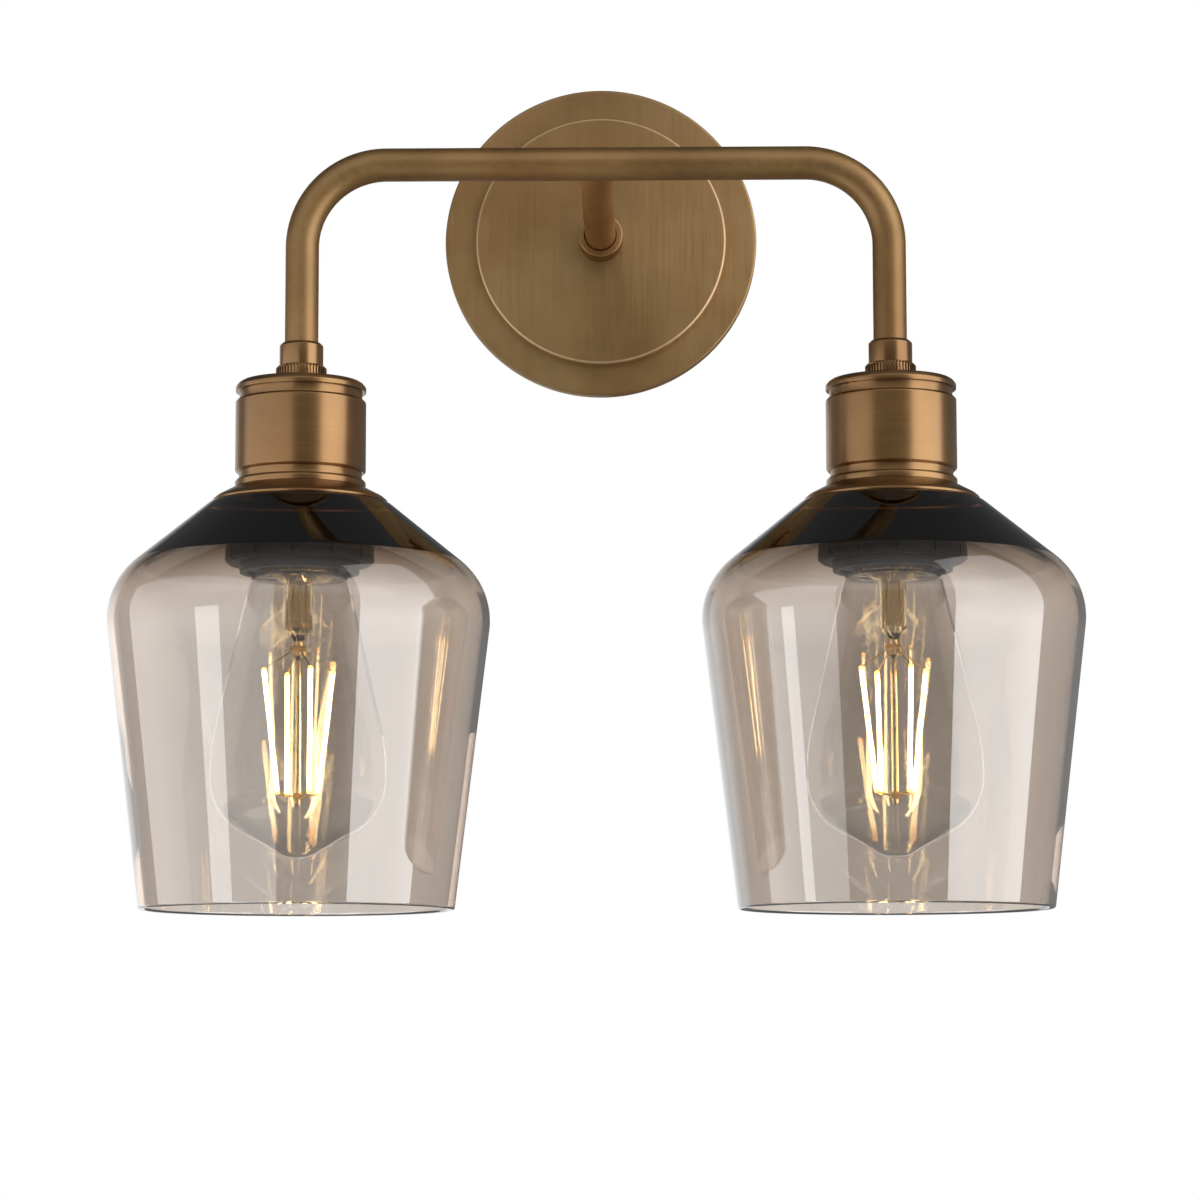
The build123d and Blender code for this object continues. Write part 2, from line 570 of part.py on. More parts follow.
def make_cup():
    edge_top = CUP_TOP - CUP_CROWN
    bead_start = edge_top - CUP_EDGE_DOWN
    bevel = CUP_R - CUP_GROOVE_R
    return turned(
        (NIPPLE_HOLE_R, CUP_TOP),
        (LOCK_RING_R, CUP_TOP),
        (CUP_R - CUP_EDGE_IN, edge_top),
        (CUP_R - CUP_EDGE_IN / 2, edge_top - CUP_EDGE_DOWN / 3),
        (CUP_R, bead_start),
        (CUP_R, CUP_GROOVE_TOP + CUP_FOOT_BEVEL),
        (CUP_R - CUP_FOOT_BEVEL, CUP_GROOVE_TOP),
        (CUP_GROOVE_R, CUP_GROOVE_TOP),
        (CUP_GROOVE_R, CUP_BODY_TOP),
        (CUP_R - bevel / 2, CUP_BODY_TOP),
        (CUP_R, CUP_BODY_TOP - CUP_BEAD_BEVEL),
        (CUP_R, CUP_BODY_END),
        (CUP_R - bevel / 2, CUP_LOWER_TOP),
        (CUP_GROOVE_R, CUP_LOWER_TOP),
        (CUP_GROOVE_R, CUP_BEAD_TOP),
        (CUP_R - bevel / 2, CUP_BEAD_TOP),
        (CUP_R, CUP_BEAD_TOP - CUP_BEAD_BEVEL),
        (CUP_R, CUP_END + CUP_FOOT_BEVEL),
        (CUP_R - CUP_FOOT_BEVEL, CUP_END),
        (CUP_BORE_R, CUP_END),
        (CUP_BORE_R, CUP_INSIDE_TOP - CUP_CORNER_BEVEL),
        (CUP_BORE_R - CUP_CORNER_BEVEL, CUP_INSIDE_TOP),
        (NIPPLE_HOLE_R, CUP_INSIDE_TOP))


def make_gallery():
    hole_r = HOLDER_R + GALLERY_HOLE_GAP
    slope_end = CUP_END - GALLERY_SLOPE_DROP
    edge_start = CUP_END - GALLERY_EDGE_DROP
    return turned(
        (hole_r, CUP_END),
        (GALLERY_FLAT_R, CUP_END),
        (GALLERY_SLOPE_R, slope_end),
        (GALLERY_R, edge_start),
        (GALLERY_R, GALLERY_END),
        (GALLERY_R - GALLERY_WALL, GALLERY_END),
        (GALLERY_R - GALLERY_WALL, edge_start),
        (GALLERY_SLOPE_R - GALLERY_WALL / 2, slope_end - GALLERY_WALL),
        (GALLERY_FLAT_R, CUP_END - GALLERY_WALL),
        (hole_r, CUP_END - GALLERY_WALL))


# ---- lampholder ----------------------------------------------------------------------
def make_lampholder_cap():
    end = HOLDER_TOP - HOLDER_CAP_HEIGHT
    crown = HOLDER_TOP - HOLDER_CAP_CROWN_DROP
    boss_end = HOLDER_TOP - HOLDER_BOSS_DEPTH
    inner_r = HOLDER_CAP_R - HOLDER_CAP_WALL
    return turned(
        (NIPPLE_HOLE_R, HOLDER_TOP),
        (HOLDER_CAP_CROWN_R, HOLDER_TOP),
        (HOLDER_CAP_R, crown),
        (HOLDER_CAP_R, end),
        (inner_r, end),
        (inner_r, crown - HOLDER_CAP_WALL / 2),
        (HOLDER_CAP_CROWN_R - HOLDER_CAP_WALL / 2, HOLDER_TOP - HOLDER_CAP_WALL),
        (HOLDER_BOSS_R, HOLDER_TOP - HOLDER_CAP_WALL),
        (HOLDER_BOSS_R, boss_end),
        (NIPPLE_HOLE_R, boss_end))


def make_lampholder_body():
    ledge_end = LEDGE_TOP - LEDGE_THICKNESS
    return turned(
        (HOLDER_UPPER_BORE_R, SKIRT_TOP),
        (HOLDER_R, SKIRT_TOP),
        (HOLDER_R, HOLDER_MOUTH + HOLDER_MOUTH_BEVEL),
        (HOLDER_R - HOLDER_MOUTH_BEVEL, HOLDER_MOUTH),
        (HOLDER_LOWER_BORE_R + HOLDER_MOUTH_BEVEL, HOLDER_MOUTH),
        (HOLDER_LOWER_BORE_R, HOLDER_MOUTH + HOLDER_MOUTH_BEVEL),
        (HOLDER_LOWER_BORE_R, ledge_end),
        (LEDGE_HOLE_R, ledge_end),
        (LEDGE_HOLE_R, LEDGE_TOP),
        (HOLDER_UPPER_BORE_R, LEDGE_TOP))


def terminal_bars(radius, head_r, head_out):
    """The lines of the two terminal screws, from the wires out through the block's side."""
    head_in = BLOCK_R - TERMINAL_SINK - TERMINAL_HEAD_LENGTH
    tip = TERMINAL_OFFSET + WIRE_R + TERMINAL_TIP_GAP
    bars = []
    for turn in (0, 180):
        shank = Cylinder(radius, head_in - tip, align=(Align.CENTER, Align.CENTER, Align.MAX))
        head = Cylinder(head_r, head_out, align=(Align.CENTER, Align.CENTER, Align.MIN))
        bar = Pos(0, 0, BLOCK_TOP - TERMINAL_SCREW_DROP) * Rot(0, 0, turn) * Rot(0, 90, 0)
        bars.append(bar * Pos(0, 0, head_in) * (shank + head))
    return bars


def make_contact_block():
    block = turned((0, BLOCK_TOP), (BLOCK_R, BLOCK_TOP), (BLOCK_R, BLOCK_BOTTOM),
                   (BLOCK_BOSS_R, BLOCK_BOTTOM), (BLOCK_BOSS_R, BLOCK_BOSS_END),
                   (0, BLOCK_BOSS_END))
    for side in (-1, 1):
        wire_hole = Cylinder(WIRE_R + WIRE_PORT_GAP, 2 * TERMINAL_HOLE_DEPTH)
        block -= Pos(side * TERMINAL_OFFSET, 0, BLOCK_TOP) * wire_hole
    for bar in terminal_bars(TERMINAL_SCREW_R + THREAD_GAP, TERMINAL_HEAD_R + RUNNING_GAP, BLOCK_R):
        block -= bar
    post_hole = Cylinder(CONTACT_POST_R + THREAD_GAP, 2 * CONTACT_POST_LENGTH)
    return block - Pos(-CONTACT_LENGTH / 2, 0, BLOCK_BOSS_END) * post_hole


def make_terminal_screws():
    screws = []
    for bar in terminal_bars(TERMINAL_SCREW_R, TERMINAL_HEAD_R, TERMINAL_HEAD_LENGTH):
        screws.append(bar)
    face = BLOCK_R - TERMINAL_SINK
    slot = Box(2 * TERMINAL_SLOT_DEPTH, 3 * TERMINAL_HEAD_R, TERMINAL_SLOT_WIDTH)
    slots = [Pos(side * face, 0, BLOCK_TOP - TERMINAL_SCREW_DROP) * slot for side in (1, -1)]
    return Compound([screw - cut for screw, cut in zip(screws, slots)])


def make_centre_contact():
    """Spring leaf, riveted under the block's boss and bent down to the bulb's button."""
    post_x = -CONTACT_LENGTH / 2
    tip_low = BUTTON_TOP + CONTACT_PRESS_GAP
    fold = BLOCK_BOSS_END - CONTACT_THICKNESS
    profile = [(post_x - CONTACT_WIDTH / 2, BLOCK_BOSS_END),
               (CONTACT_LENGTH / 2 + CONTACT_THICKNESS, BLOCK_BOSS_END),
               (CONTACT_LENGTH / 2 + CONTACT_THICKNESS, tip_low),
               (post_x, tip_low),
               (post_x, tip_low + CONTACT_THICKNESS),
               (CONTACT_LENGTH / 2, tip_low + CONTACT_THICKNESS),
               (CONTACT_LENGTH / 2, fold),
               (post_x - CONTACT_WIDTH / 2, fold)]
    leaf = extrude(outline(profile), CONTACT_WIDTH / 2, both=True)
    post = Pos(post_x, 0, BLOCK_BOSS_END) * Cylinder(
        CONTACT_POST_R, CONTACT_POST_LENGTH, align=(Align.CENTER, Align.CENTER, Align.MIN))
    return leaf + post


def make_screw_shell():
    end = BLOCK_BOTTOM - SHELL_LENGTH
    outer = SHELL_BORE_R + SHELL_WALL
    return turned((SHELL_BORE_R, BLOCK_BOTTOM), (outer, BLOCK_BOTTOM), (outer, end + SHELL_LIP),
                  (outer + SHELL_LIP, end), (SHELL_BORE_R, end))


# ---- shade and its ring -----------------------------------------------------------------
def make_shade_ring():
    bore = HOLDER_R + RUNNING_GAP
    skirt_in = RING_R - RING_WALL
    sleeve_out = bore + RING_WALL
    floor = RING_BOTTOM + RING_FLOOR
    ring = turned(
        (bore, RING_TOP), (sleeve_out, RING_TOP), (sleeve_out, floor), (skirt_in, floor),
        (skirt_in, RING_TOP), (RING_R - RING_TOP_BEVEL, RING_TOP),
        (RING_R, RING_TOP - RING_TOP_BEVEL),
        (RING_R, RING_BOTTOM + RING_BOTTOM_BEVEL),
        (RING_R - RING_BOTTOM_BEVEL, RING_BOTTOM), (RING_LIP_R, RING_BOTTOM),
        (RING_LIP_R, RING_BOTTOM - RING_LIP_HEIGHT), (bore, RING_BOTTOM - RING_LIP_HEIGHT))
    slot_length = RING_HEIGHT - RING_SLOT_BACK
    slot = Box(2 * RING_SLOT_DEPTH, RING_SLOT_WIDTH, slot_length,
               align=(Align.CENTER, Align.CENTER, Align.MAX))
    return ring - PolarLocations(RING_R, RING_SLOTS) * (Pos(0, 0, RING_TOP - RING_SLOT_BACK) * slot)


def make_glass_shade():
    corners = [(SHADE_HOLE_R, SHADE_TOP), (SHADE_TOP_R, SHADE_TOP),
               (SHADE_KNEE_R, SHADE_TOP - SHADE_KNEE_DROP),
               (SHADE_RIM_R, SHADE_TOP - SHADE_HEIGHT)]
    neck_floor = SHADE_TOP - SHADE_NECK_WALL
    (high_r, high), (low_r, low) = inset_corners(corners, SHADE_WALL)[1:3]
    neck_end = high + (low - high) * (SHADE_NECK_END_R - high_r) / (low_r - high_r)
    neck = [(SHADE_HOLE_R, neck_floor), (SHADE_NECK_FLAT_R, neck_floor),
            (SHADE_NECK_END_R, neck_end)]
    return blown_shell(corners, [SHADE_TOP_ROUND, SHADE_KNEE_ROUND], SHADE_WALL, neck)


# ---- bulb -------------------------------------------------------------------------------
def make_bulb_glass():
    corners = [(BULB_NECK_R, CAP_RIM + BULB_NECK_IN_CAP), (BULB_NECK_R, CAP_RIM),
               (BULB_SHOULDER_R, CAP_RIM - BULB_SHOULDER_DROP), (BULB_R, CAP_RIM - BULB_CONE_DROP),
               (BULB_R, CAP_RIM - BULB_WIDE_DROP), (BULB_TIP_R, CAP_RIM - BULB_TIP_DROP),
               (BULB_NUB_R, CAP_RIM - BULB_LENGTH), (0, CAP_RIM - BULB_LENGTH)]
    rounds = [BULB_NECK_ROUND, BULB_SHOULDER_ROUND, BULB_CONE_ROUND,
              BULB_DOME_ROUND, BULB_TIP_ROUND, BULB_NUB_ROUND]
    return blown_shell(corners, rounds, BULB_WALL)


def make_bulb_cap():
    root_r = CAP_CREST_R - CAP_THREAD_DEPTH
    flank = CAP_PITCH / 4
    outer = [(CAP_SKIRT_R, CAP_RIM), (CAP_SKIRT_R, CAP_SKIRT_TOP)]
    for turn in range(CAP_TURNS):
        foot = CAP_SKIRT_TOP + CAP_THREAD_LEAD + turn * CAP_PITCH
        outer += [(root_r, foot), (CAP_CREST_R, foot + flank), (CAP_CREST_R, foot + 2 * flank),
                  (root_r, foot + 3 * flank)]
    outer += [(root_r, INSULATOR_BOTTOM), (root_r - CAP_WALL, INSULATOR_BOTTOM),
              (root_r - CAP_WALL, CAP_SKIRT_TOP), (CAP_SKIRT_R - CAP_WALL, CAP_SKIRT_TOP - CAP_WALL),
              (CAP_SKIRT_R - CAP_WALL, CAP_RIM)]
    return turned(*outer)


def make_bulb_insulator():
    edge = INSULATOR_BOTTOM + INSULATOR_EDGE
    slot_r = BUTTON_R + THREAD_GAP
    return turned((0, INSULATOR_BOTTOM), (INSULATOR_R, INSULATOR_BOTTOM), (INSULATOR_R, edge),
                  (slot_r, BUTTON_BOTTOM), (0, BUTTON_BOTTOM))


def make_bulb_contact():
    return turned((0, BUTTON_BOTTOM), (BUTTON_R, BUTTON_BOTTOM),
                  (BUTTON_R, BUTTON_TOP - BUTTON_CROWN_DROP), (BUTTON_CROWN_R, BUTTON_TOP),
                  (0, BUTTON_TOP))


def make_bulb_stem():
    flare_r = BULB_NECK_R - BULB_WALL - THREAD_GAP
    flare_top = CAP_RIM + STEM_FLARE_TOP
    flare_end = flare_top - STEM_FLARE_DROP
    tube_end = CAP_RIM - STEM_GLASS_END
    bead = CAP_RIM - STEM_BEAD_DROP
    rod_end = CAP_RIM - STEM_ROD_END
    return turned(
        (flare_r, flare_top), (STEM_GLASS_R, flare_end), (STEM_GLASS_R, tube_end),
        (STEM_PINCH_R, tube_end + (bead - tube_end) / 2), (STEM_BEAD_R, bead + STEM_BEAD_R / 2),
        (STEM_BEAD_R, bead - STEM_BEAD_R / 2), (STEM_ROD_R, bead - STEM_BEAD_R),
        (STEM_ROD_R, rod_end), (0, rod_end - STEM_ROD_R), (0, tube_end),
        (STEM_GLASS_R - BULB_WALL, tube_end + BULB_WALL), (STEM_GLASS_R - BULB_WALL, flare_end),
        (flare_r - BULB_WALL, flare_top))


def filament_ends(number):
    """Top and lower end of one filament, from the bulb's axis."""
    ends = []
    for radius, turn, drop in ((FILAMENT_TOP_R, FILAMENT_TOP_TURN, FILAMENT_TOP_DROP),
                               (FILAMENT_END_R, FILAMENT_END_TURN, FILAMENT_END_DROP)):
        angle = radians(turn + number * 360 / FILAMENT_COUNT)
        ends.append(Vector(radius * cos(angle), radius * sin(angle), CAP_RIM - drop))
    return ends


def make_bulb_filaments():
    return Compound([rod_between(FILAMENT_R, *filament_ends(n)) for n in range(FILAMENT_COUNT)])


def make_support_wires():
    wires = []
    for number in range(FILAMENT_COUNT):
        top, end = filament_ends(number)
        outward = Vector(top.X, top.Y, 0).normalized()
        bead_side = outward * (STEM_BEAD_R + SUPPORT_R) + Vector(0, 0, CAP_RIM - STEM_BEAD_DROP)
        wires.append(rod_between(SUPPORT_R, bead_side, top + Vector(0, 0, SUPPORT_R + THREAD_GAP)))
        outward = Vector(end.X, end.Y, 0).normalized()
        rod_side = outward * (STEM_ROD_R + SUPPORT_R) + Vector(0, 0, CAP_RIM - SUPPORT_END_DROP)
        wires.append(rod_between(SUPPORT_R, rod_side, end - Vector(0, 0, SUPPORT_R + THREAD_GAP)))
    for side in (-1, 1):
        lead_x = side * (STEM_GLASS_R - BULB_WALL) / 2
        lead_top = DRIVER_TOP - DRIVER_HEIGHT - THREAD_GAP
        lead_end = CAP_RIM - STEM_GLASS_END + BULB_WALL
        wires.append(rod_between(SUPPORT_R, (lead_x, 0, lead_top), (lead_x, 0, lead_end)))
    return Compound(wires)


def make_driver_board():
    board = Box(DRIVER_WIDTH, DRIVER_THICKNESS, DRIVER_HEIGHT,
                align=(Align.CENTER, Align.CENTER, Align.MAX))
    return Pos(0, 0, DRIVER_TOP) * board


# ---- the parts, each in its own file -----------------------------------------------------
SHARED = {
    "wall_bracket": make_wall_bracket,
    "plate_side_screws": make_side_screws,
    "earth_screw": make_earth_screw,
    "earth_ring_terminals": make_earth_lugs,
    "earth_wire": make_earth_wire,
    "backplate": make_backplate,
    "face_disc": make_face_disc,
    "stem_collar": make_stem_collar,
    "stem_tube": make_stem_tube,
    "stem_nipple": make_stem_nipple,
    "stem_nut": make_stem_nut,
    "arm_tube": make_arm_tube,
}
LIGHT = {
    "tube_coupler": make_tube_coupler,
    "arm_nipple": make_arm_nipple,
    "lock_ring": make_lock_ring,
    "cup": make_cup,
    "gallery": make_gallery,
    "lampholder_cap": make_lampholder_cap,
    "lampholder_body": make_lampholder_body,
    "contact_block": make_contact_block,
    "centre_contact": make_centre_contact,
    "screw_shell": make_screw_shell,
    "terminal_screws": make_terminal_screws,
    "shade_ring": make_shade_ring,
    "glass_shade": make_glass_shade,
    "bulb_glass": make_bulb_glass,
    "bulb_cap": make_bulb_cap,
    "bulb_insulator": make_bulb_insulator,
    "bulb_contact": make_bulb_contact,
    "bulb_stem": make_bulb_stem,
    "bulb_filaments": make_bulb_filaments,
    "bulb_support_wires": make_support_wires,
    "bulb_driver_board": make_driver_board,
}

parts = {name: make() for name, make in SHARED.items()}
parts["live_push_connector"] = make_connector(1)
parts["neutral_push_connector"] = make_connector(-1)
for side_name, side in (("left", -1), ("right", 1)):
    parts[side_name + "_live_wire"] = make_supply_wire(side, 1)
    parts[side_name + "_neutral_wire"] = make_supply_wire(side, -1)
for name, make in LIGHT.items():
    piece = make()
    for side_name, side in (("left", -1), ("right", 1)):
        parts[side_name + "_" + name] = Pos(side * ARM_SPACING / 2, -ARM_REACH, 0) * piece

os.makedirs("parts", exist_ok=True)
for name, piece in parts.items():
    export_step(piece, "parts/" + name + ".step")
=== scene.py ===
import math

import bmesh
import bpy
from mathutils import Matrix, Vector


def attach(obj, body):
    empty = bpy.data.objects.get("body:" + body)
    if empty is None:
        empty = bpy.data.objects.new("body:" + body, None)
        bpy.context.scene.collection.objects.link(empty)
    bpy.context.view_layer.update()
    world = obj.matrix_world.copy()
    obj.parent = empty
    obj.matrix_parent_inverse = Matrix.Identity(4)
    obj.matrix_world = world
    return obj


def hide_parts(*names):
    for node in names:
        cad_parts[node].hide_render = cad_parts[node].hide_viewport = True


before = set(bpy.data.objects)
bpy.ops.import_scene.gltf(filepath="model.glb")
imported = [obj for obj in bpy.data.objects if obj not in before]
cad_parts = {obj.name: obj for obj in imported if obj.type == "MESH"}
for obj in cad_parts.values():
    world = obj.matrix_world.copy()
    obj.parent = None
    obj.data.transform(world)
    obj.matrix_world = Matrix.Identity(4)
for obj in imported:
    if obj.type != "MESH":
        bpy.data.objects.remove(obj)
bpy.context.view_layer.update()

# ---- wall bracket, its screws and the nuts -----------------------------------------------
# Pressed steel strip with a wide window for the house cable, zinc plated. Two small screws
# hold the backplate on its ears. The hollow tube and nut behind the disc are plated too.


def new_material(name):
    material = bpy.data.materials.new(name)
    material.use_nodes = True
    tree = material.node_tree
    return material, tree, tree.nodes["Principled BSDF"]


def add(tree, kind, **values):
    """New node with its inputs or settings filled in."""
    node = tree.nodes.new(kind)
    for key, value in values.items():
        if key in node.inputs:
            node.inputs[key].default_value = value
        else:
            setattr(node, key, value)
    return node


def grain(tree, scale, stretch=(1, 1, 1), detail=4.0, roughness=0.5):
    """Noise on the object's own coordinates, stretched along the way it was brushed."""
    place = add(tree, "ShaderNodeTexCoord")
    turn = add(tree, "ShaderNodeMapping", Scale=stretch)
    noise = add(tree, "ShaderNodeTexNoise", Scale=scale, Detail=detail, Roughness=roughness)
    tree.links.new(place.outputs["Object"], turn.inputs["Vector"])
    tree.links.new(turn.outputs["Vector"], noise.inputs["Vector"])
    return noise.outputs["Fac"]


def ramp(tree, source, *stops):
    """Colours along a value, from (position, colour) stops."""
    node = add(tree, "ShaderNodeValToRGB")
    elements = node.color_ramp.elements
    while len(elements) < len(stops):
        elements.new(0.5)
    for element, (position, colour) in zip(elements, stops):
        element.position = position
        element.color = (*colour, 1.0)
    tree.links.new(source, node.inputs["Fac"])
    return node.outputs["Color"]


def spread(tree, source, low, high, start=0.0, end=1.0):
    """A value between low and high while the source goes from start to end."""
    node = add(tree, "ShaderNodeMapRange")
    for name, value in (("From Min", start), ("From Max", end), ("To Min", low), ("To Max", high)):
        node.inputs[name].default_value = value
    tree.links.new(source, node.inputs["Value"])
    return node.outputs["Result"]


def relief(tree, shader, source, depth, strength=0.3):
    """Fine unevenness of the surface, its depth in metres."""
    bump = add(tree, "ShaderNodeBump", Strength=strength, Distance=depth)
    tree.links.new(source, bump.inputs["Height"])
    tree.links.new(bump.outputs["Normal"], shader.inputs["Normal"])


def mottled(name, scale, dark, pale, rough, edges=(0.3, 0.7), detail=4.0):
    """Material in clouds of two colours, with its roughness between the two values of rough."""
    material, tree, shader = new_material(name)
    cloud = grain(tree, scale, detail=detail)
    tree.links.new(ramp(tree, cloud, (edges[0], dark), (edges[1], pale)),
                   shader.inputs["Base Color"])
    tree.links.new(spread(tree, cloud, *rough), shader.inputs["Roughness"])
    return material, tree, shader


def plated_steel(name, dark, pale):
    material, tree, shader = mottled(name, 220.0, dark, pale, (0.30, 0.48), (0.35, 0.65), 3.0)
    shader.inputs["Metallic"].default_value = 1.0
    relief(tree, shader, grain(tree, 900.0), 0.0001)
    return material


def paint(material, *names):
    """Gives nodes of the CAD model their finish."""
    for name in names:
        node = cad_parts[name]
        node.data.materials.clear()
        node.data.materials.append(material)


zinc = plated_steel("zinc_plate", (0.42, 0.41, 0.38), (0.66, 0.66, 0.64))
paint(zinc, "wall_bracket", "earth_screw", "stem_nipple", "stem_nut")

# ---- earth wire and its ring terminals ---------------------------------------------------
# Green and yellow insulated wire, from a small ring under the earth screw to a large ring
# under the stem's nut. The rings are tinned copper, crimped on.
tinned = plated_steel("tinned_copper", (0.55, 0.54, 0.51), (0.78, 0.77, 0.74))
paint(tinned, "earth_ring_terminals")


def wire_skin(name, colour, second=None):
    """Soft insulation with a faint mottle, or with a stripe of a second colour."""
    material, tree, shader = new_material(name)
    mottle = grain(tree, 300.0)
    dark = tuple(0.8 * c for c in colour)
    tint = ramp(tree, mottle, (0.3, dark), (0.7, colour))
    if second:
        stripe = grain(tree, 1.0, stretch=(10, 700, 700), detail=0.0)
        tint = ramp(tree, stripe, (0.46, colour), (0.54, second))
    tree.links.new(tint, shader.inputs["Base Color"])
    tree.links.new(spread(tree, mottle, 0.38, 0.52), shader.inputs["Roughness"])
    relief(tree, shader, mottle, 0.00005)
    return material


paint(wire_skin("earth_insulation", (0.08, 0.33, 0.06), (0.75, 0.62, 0.05)), "earth_wire")

# ---- supply connectors and wires ---------------------------------------------------------
# A live and a neutral push-in connector lie behind the disc. From each, one wire runs through
# the stem and the arm to each lampholder: brown is live, blue is neutral.
housing, tree, shader = mottled("connector_moulding", 60.0, (0.62, 0.62, 0.58),
                                (0.78, 0.78, 0.74), (0.25, 0.4), (0.2, 0.8))
shader.inputs["Subsurface Weight"].default_value = 0.15
shader.inputs["Subsurface Scale"].default_value = 0.002
relief(tree, shader, grain(tree, 700.0), 0.00005)
paint(housing, "live_push_connector", "neutral_push_connector")
live = wire_skin("live_insulation", (0.16, 0.06, 0.03))
neutral = wire_skin("neutral_insulation", (0.03, 0.09, 0.42))
paint(live, "left_live_wire", "right_live_wire")
paint(neutral, "left_neutral_wire", "right_neutral_wire")

# ---- backplate ---------------------------------------------------------------------------
# Spun brass pan, 128 mm across and 6 mm deep, brushed up and down and then aged. A small
# screw on each side of the rim holds it on the bracket.
PLATE_EDGE = 64.0
PLATE_FACE = 6.0


def times(tree, one, two):
    """One colour multiplied by another."""
    mix = add(tree, "ShaderNodeMix", data_type="RGBA", blend_type="MULTIPLY")
    mix.inputs["Factor"].default_value = 1.0
    tree.links.new(one, mix.inputs[6])
    tree.links.new(two, mix.inputs[7])
    return mix.outputs[2]


def brass(name, stretch, shine, tone, lacquer=0.3, spun_about=None, anisotropy=0.0):
    """Aged, lacquered brass: fine brushing one way over clouds of brown and olive patina.

    The roughness lies between the two values of shine, and tone multiplies the colours."""
    material, tree, shader = new_material(name)
    shader.inputs["Metallic"].default_value = 1.0
    deep, middle, light = (tuple(t * c for t, c in zip(tone, shade)) for shade in (
        (0.26, 0.150, 0.066), (0.33, 0.200, 0.092), (0.40, 0.255, 0.125)))
    patina = ramp(tree, grain(tree, 22.0, detail=5.0), (0.30, deep), (0.50, middle), (0.72, light))
    age = ramp(tree, grain(tree, 9.0, detail=2.0), (0.35, (1.0, 0.94, 0.88)),
               (0.65, (0.95, 1.0, 1.0)))
    brush = grain(tree, 1.0, stretch, detail=4.0, roughness=0.6)
    lines = ramp(tree, brush, (0.30, (0.88, 0.87, 0.85)), (0.70, (1.0, 1.0, 1.0)))
    colour = times(tree, times(tree, patina, age), lines)
    tree.links.new(colour, shader.inputs["Base Color"])
    tree.links.new(spread(tree, brush, *shine, 0.3, 0.7), shader.inputs["Roughness"])
    relief(tree, shader, brush, 0.00002, 0.4)
    # The darker, browner tint at grazing angles is painted shade on the edges, for dark
    # surroundings mirrored there.
    shader.inputs["Specular Tint"].default_value = (0.62, 0.52, 0.40, 1.0)
    shader.inputs["Coat Weight"].default_value = lacquer
    shader.inputs["Coat Roughness"].default_value = 0.22
    if spun_about:
        shader.inputs["Anisotropic"].default_value = anisotropy
        shader.inputs["Anisotropic Rotation"].default_value = 0.25
        tangent = add(tree, "ShaderNodeTangent", direction_type="RADIAL", axis=spun_about)
        tree.links.new(tangent.outputs["Tangent"], shader.inputs["Tangent"])
    return material


def rounded(*corners, steps=5):
    """Profile through (radius, height, round) corners in mm, with an arc where round > 0."""
    points = [Vector(corner[:2]) for corner in corners]
    count = len(points)
    halves, runs = [], []
    for index, (here, corner) in enumerate(zip(points, corners)):
        before, after = points[index - 1] - here, points[(index + 1) % count] - here
        half = before.angle(after, math.pi) / 2
        halves.append(half)
        runs.append(corner[2] / math.tan(half) if corner[2] else 0.0)
    for index in range(count):
        after = (index + 1) % count
        room = 0.98 * (points[after] - points[index]).length
        wanted = runs[index] + runs[after]
        if wanted > room:
            runs[index] *= room / wanted
            runs[after] *= room / wanted
    line = []
    for index, here in enumerate(points):
        if not runs[index]:
            line.append(here)
            continue
        before = (points[index - 1] - here).normalized()
        after = (points[(index + 1) % count] - here).normalized()
        start, end = here + before * runs[index], here + after * runs[index]
        middle = here + (before + after).normalized() * runs[index] / math.cos(halves[index])
        sweep = (start - middle).angle_signed(end - middle)
        for step in range(steps + 1):
            line.append(middle + Matrix.Rotation(-sweep * step / steps, 2) @ (start - middle))
    return line


def with_guards(line, longest=8.0, guard=1.0):
    """The same profile with a point close to each end of its long runs, so they shade flat."""
    filled = []
    for here, after in zip(line, line[1:] + line[:1]):
        filled.append(here)
        if (after - here).length > longest:
            along = (after - here).normalized() * guard
            filled += [here + along, after - along]
    return filled


def new_piece(name, vertices, edges, faces):
    """Object in the scene with a mesh of its own."""
    mesh = bpy.data.meshes.new(name)
    mesh.from_pydata(vertices, edges, faces)
    piece = bpy.data.objects.new(name, mesh)
    bpy.context.scene.collection.objects.link(piece)
    return piece


def finish_mesh(piece, sharp):
    """Merges doubles, turns the faces outwards and shades them, with sharp corners kept."""
    shape = bmesh.new()
    shape.from_mesh(piece.data)
    bmesh.ops.remove_doubles(shape, verts=shape.verts, dist=1e-7)
    bmesh.ops.recalc_face_normals(shape, faces=shape.faces)
    shape.to_mesh(piece.data)
    shape.free()
    piece.data.shade_smooth()
    piece.data.set_sharp_from_angle(angle=math.radians(sharp))


def lathe(name, profile, centre=(0, 0), along_wall=False, steps=160, sharp=32):
    """Mesh turned from a closed profile in mm, about a drop's axis or about the stem's line."""
    vertices, faces = [], []
    profile = with_guards(profile)
    for r, h in profile:
        for step in range(steps):
            angle = 2 * math.pi * step / steps
            x, y = r * math.cos(angle) / 1000, r * math.sin(angle) / 1000
            place = (x, -h / 1000, y) if along_wall else (centre[0] + x, centre[1] + y, h / 1000)
            vertices.append(place)
    for row in range(len(profile)):
        low, high = row * steps, (row + 1) % len(profile) * steps
        for step in range(steps):
            after = (step + 1) % steps
            faces.append((low + step, low + after, high + after, high + step))
    piece = new_piece(name, vertices, [], faces)
    finish_mesh(piece, sharp)
    return piece


def fit(piece, material, body, *nodes):
    """Gives a made piece its finish and the record's slot, and lets it stand for its nodes."""
    piece.data.materials.clear()
    piece.data.materials.append(material)
    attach(piece, body)
    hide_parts(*nodes)


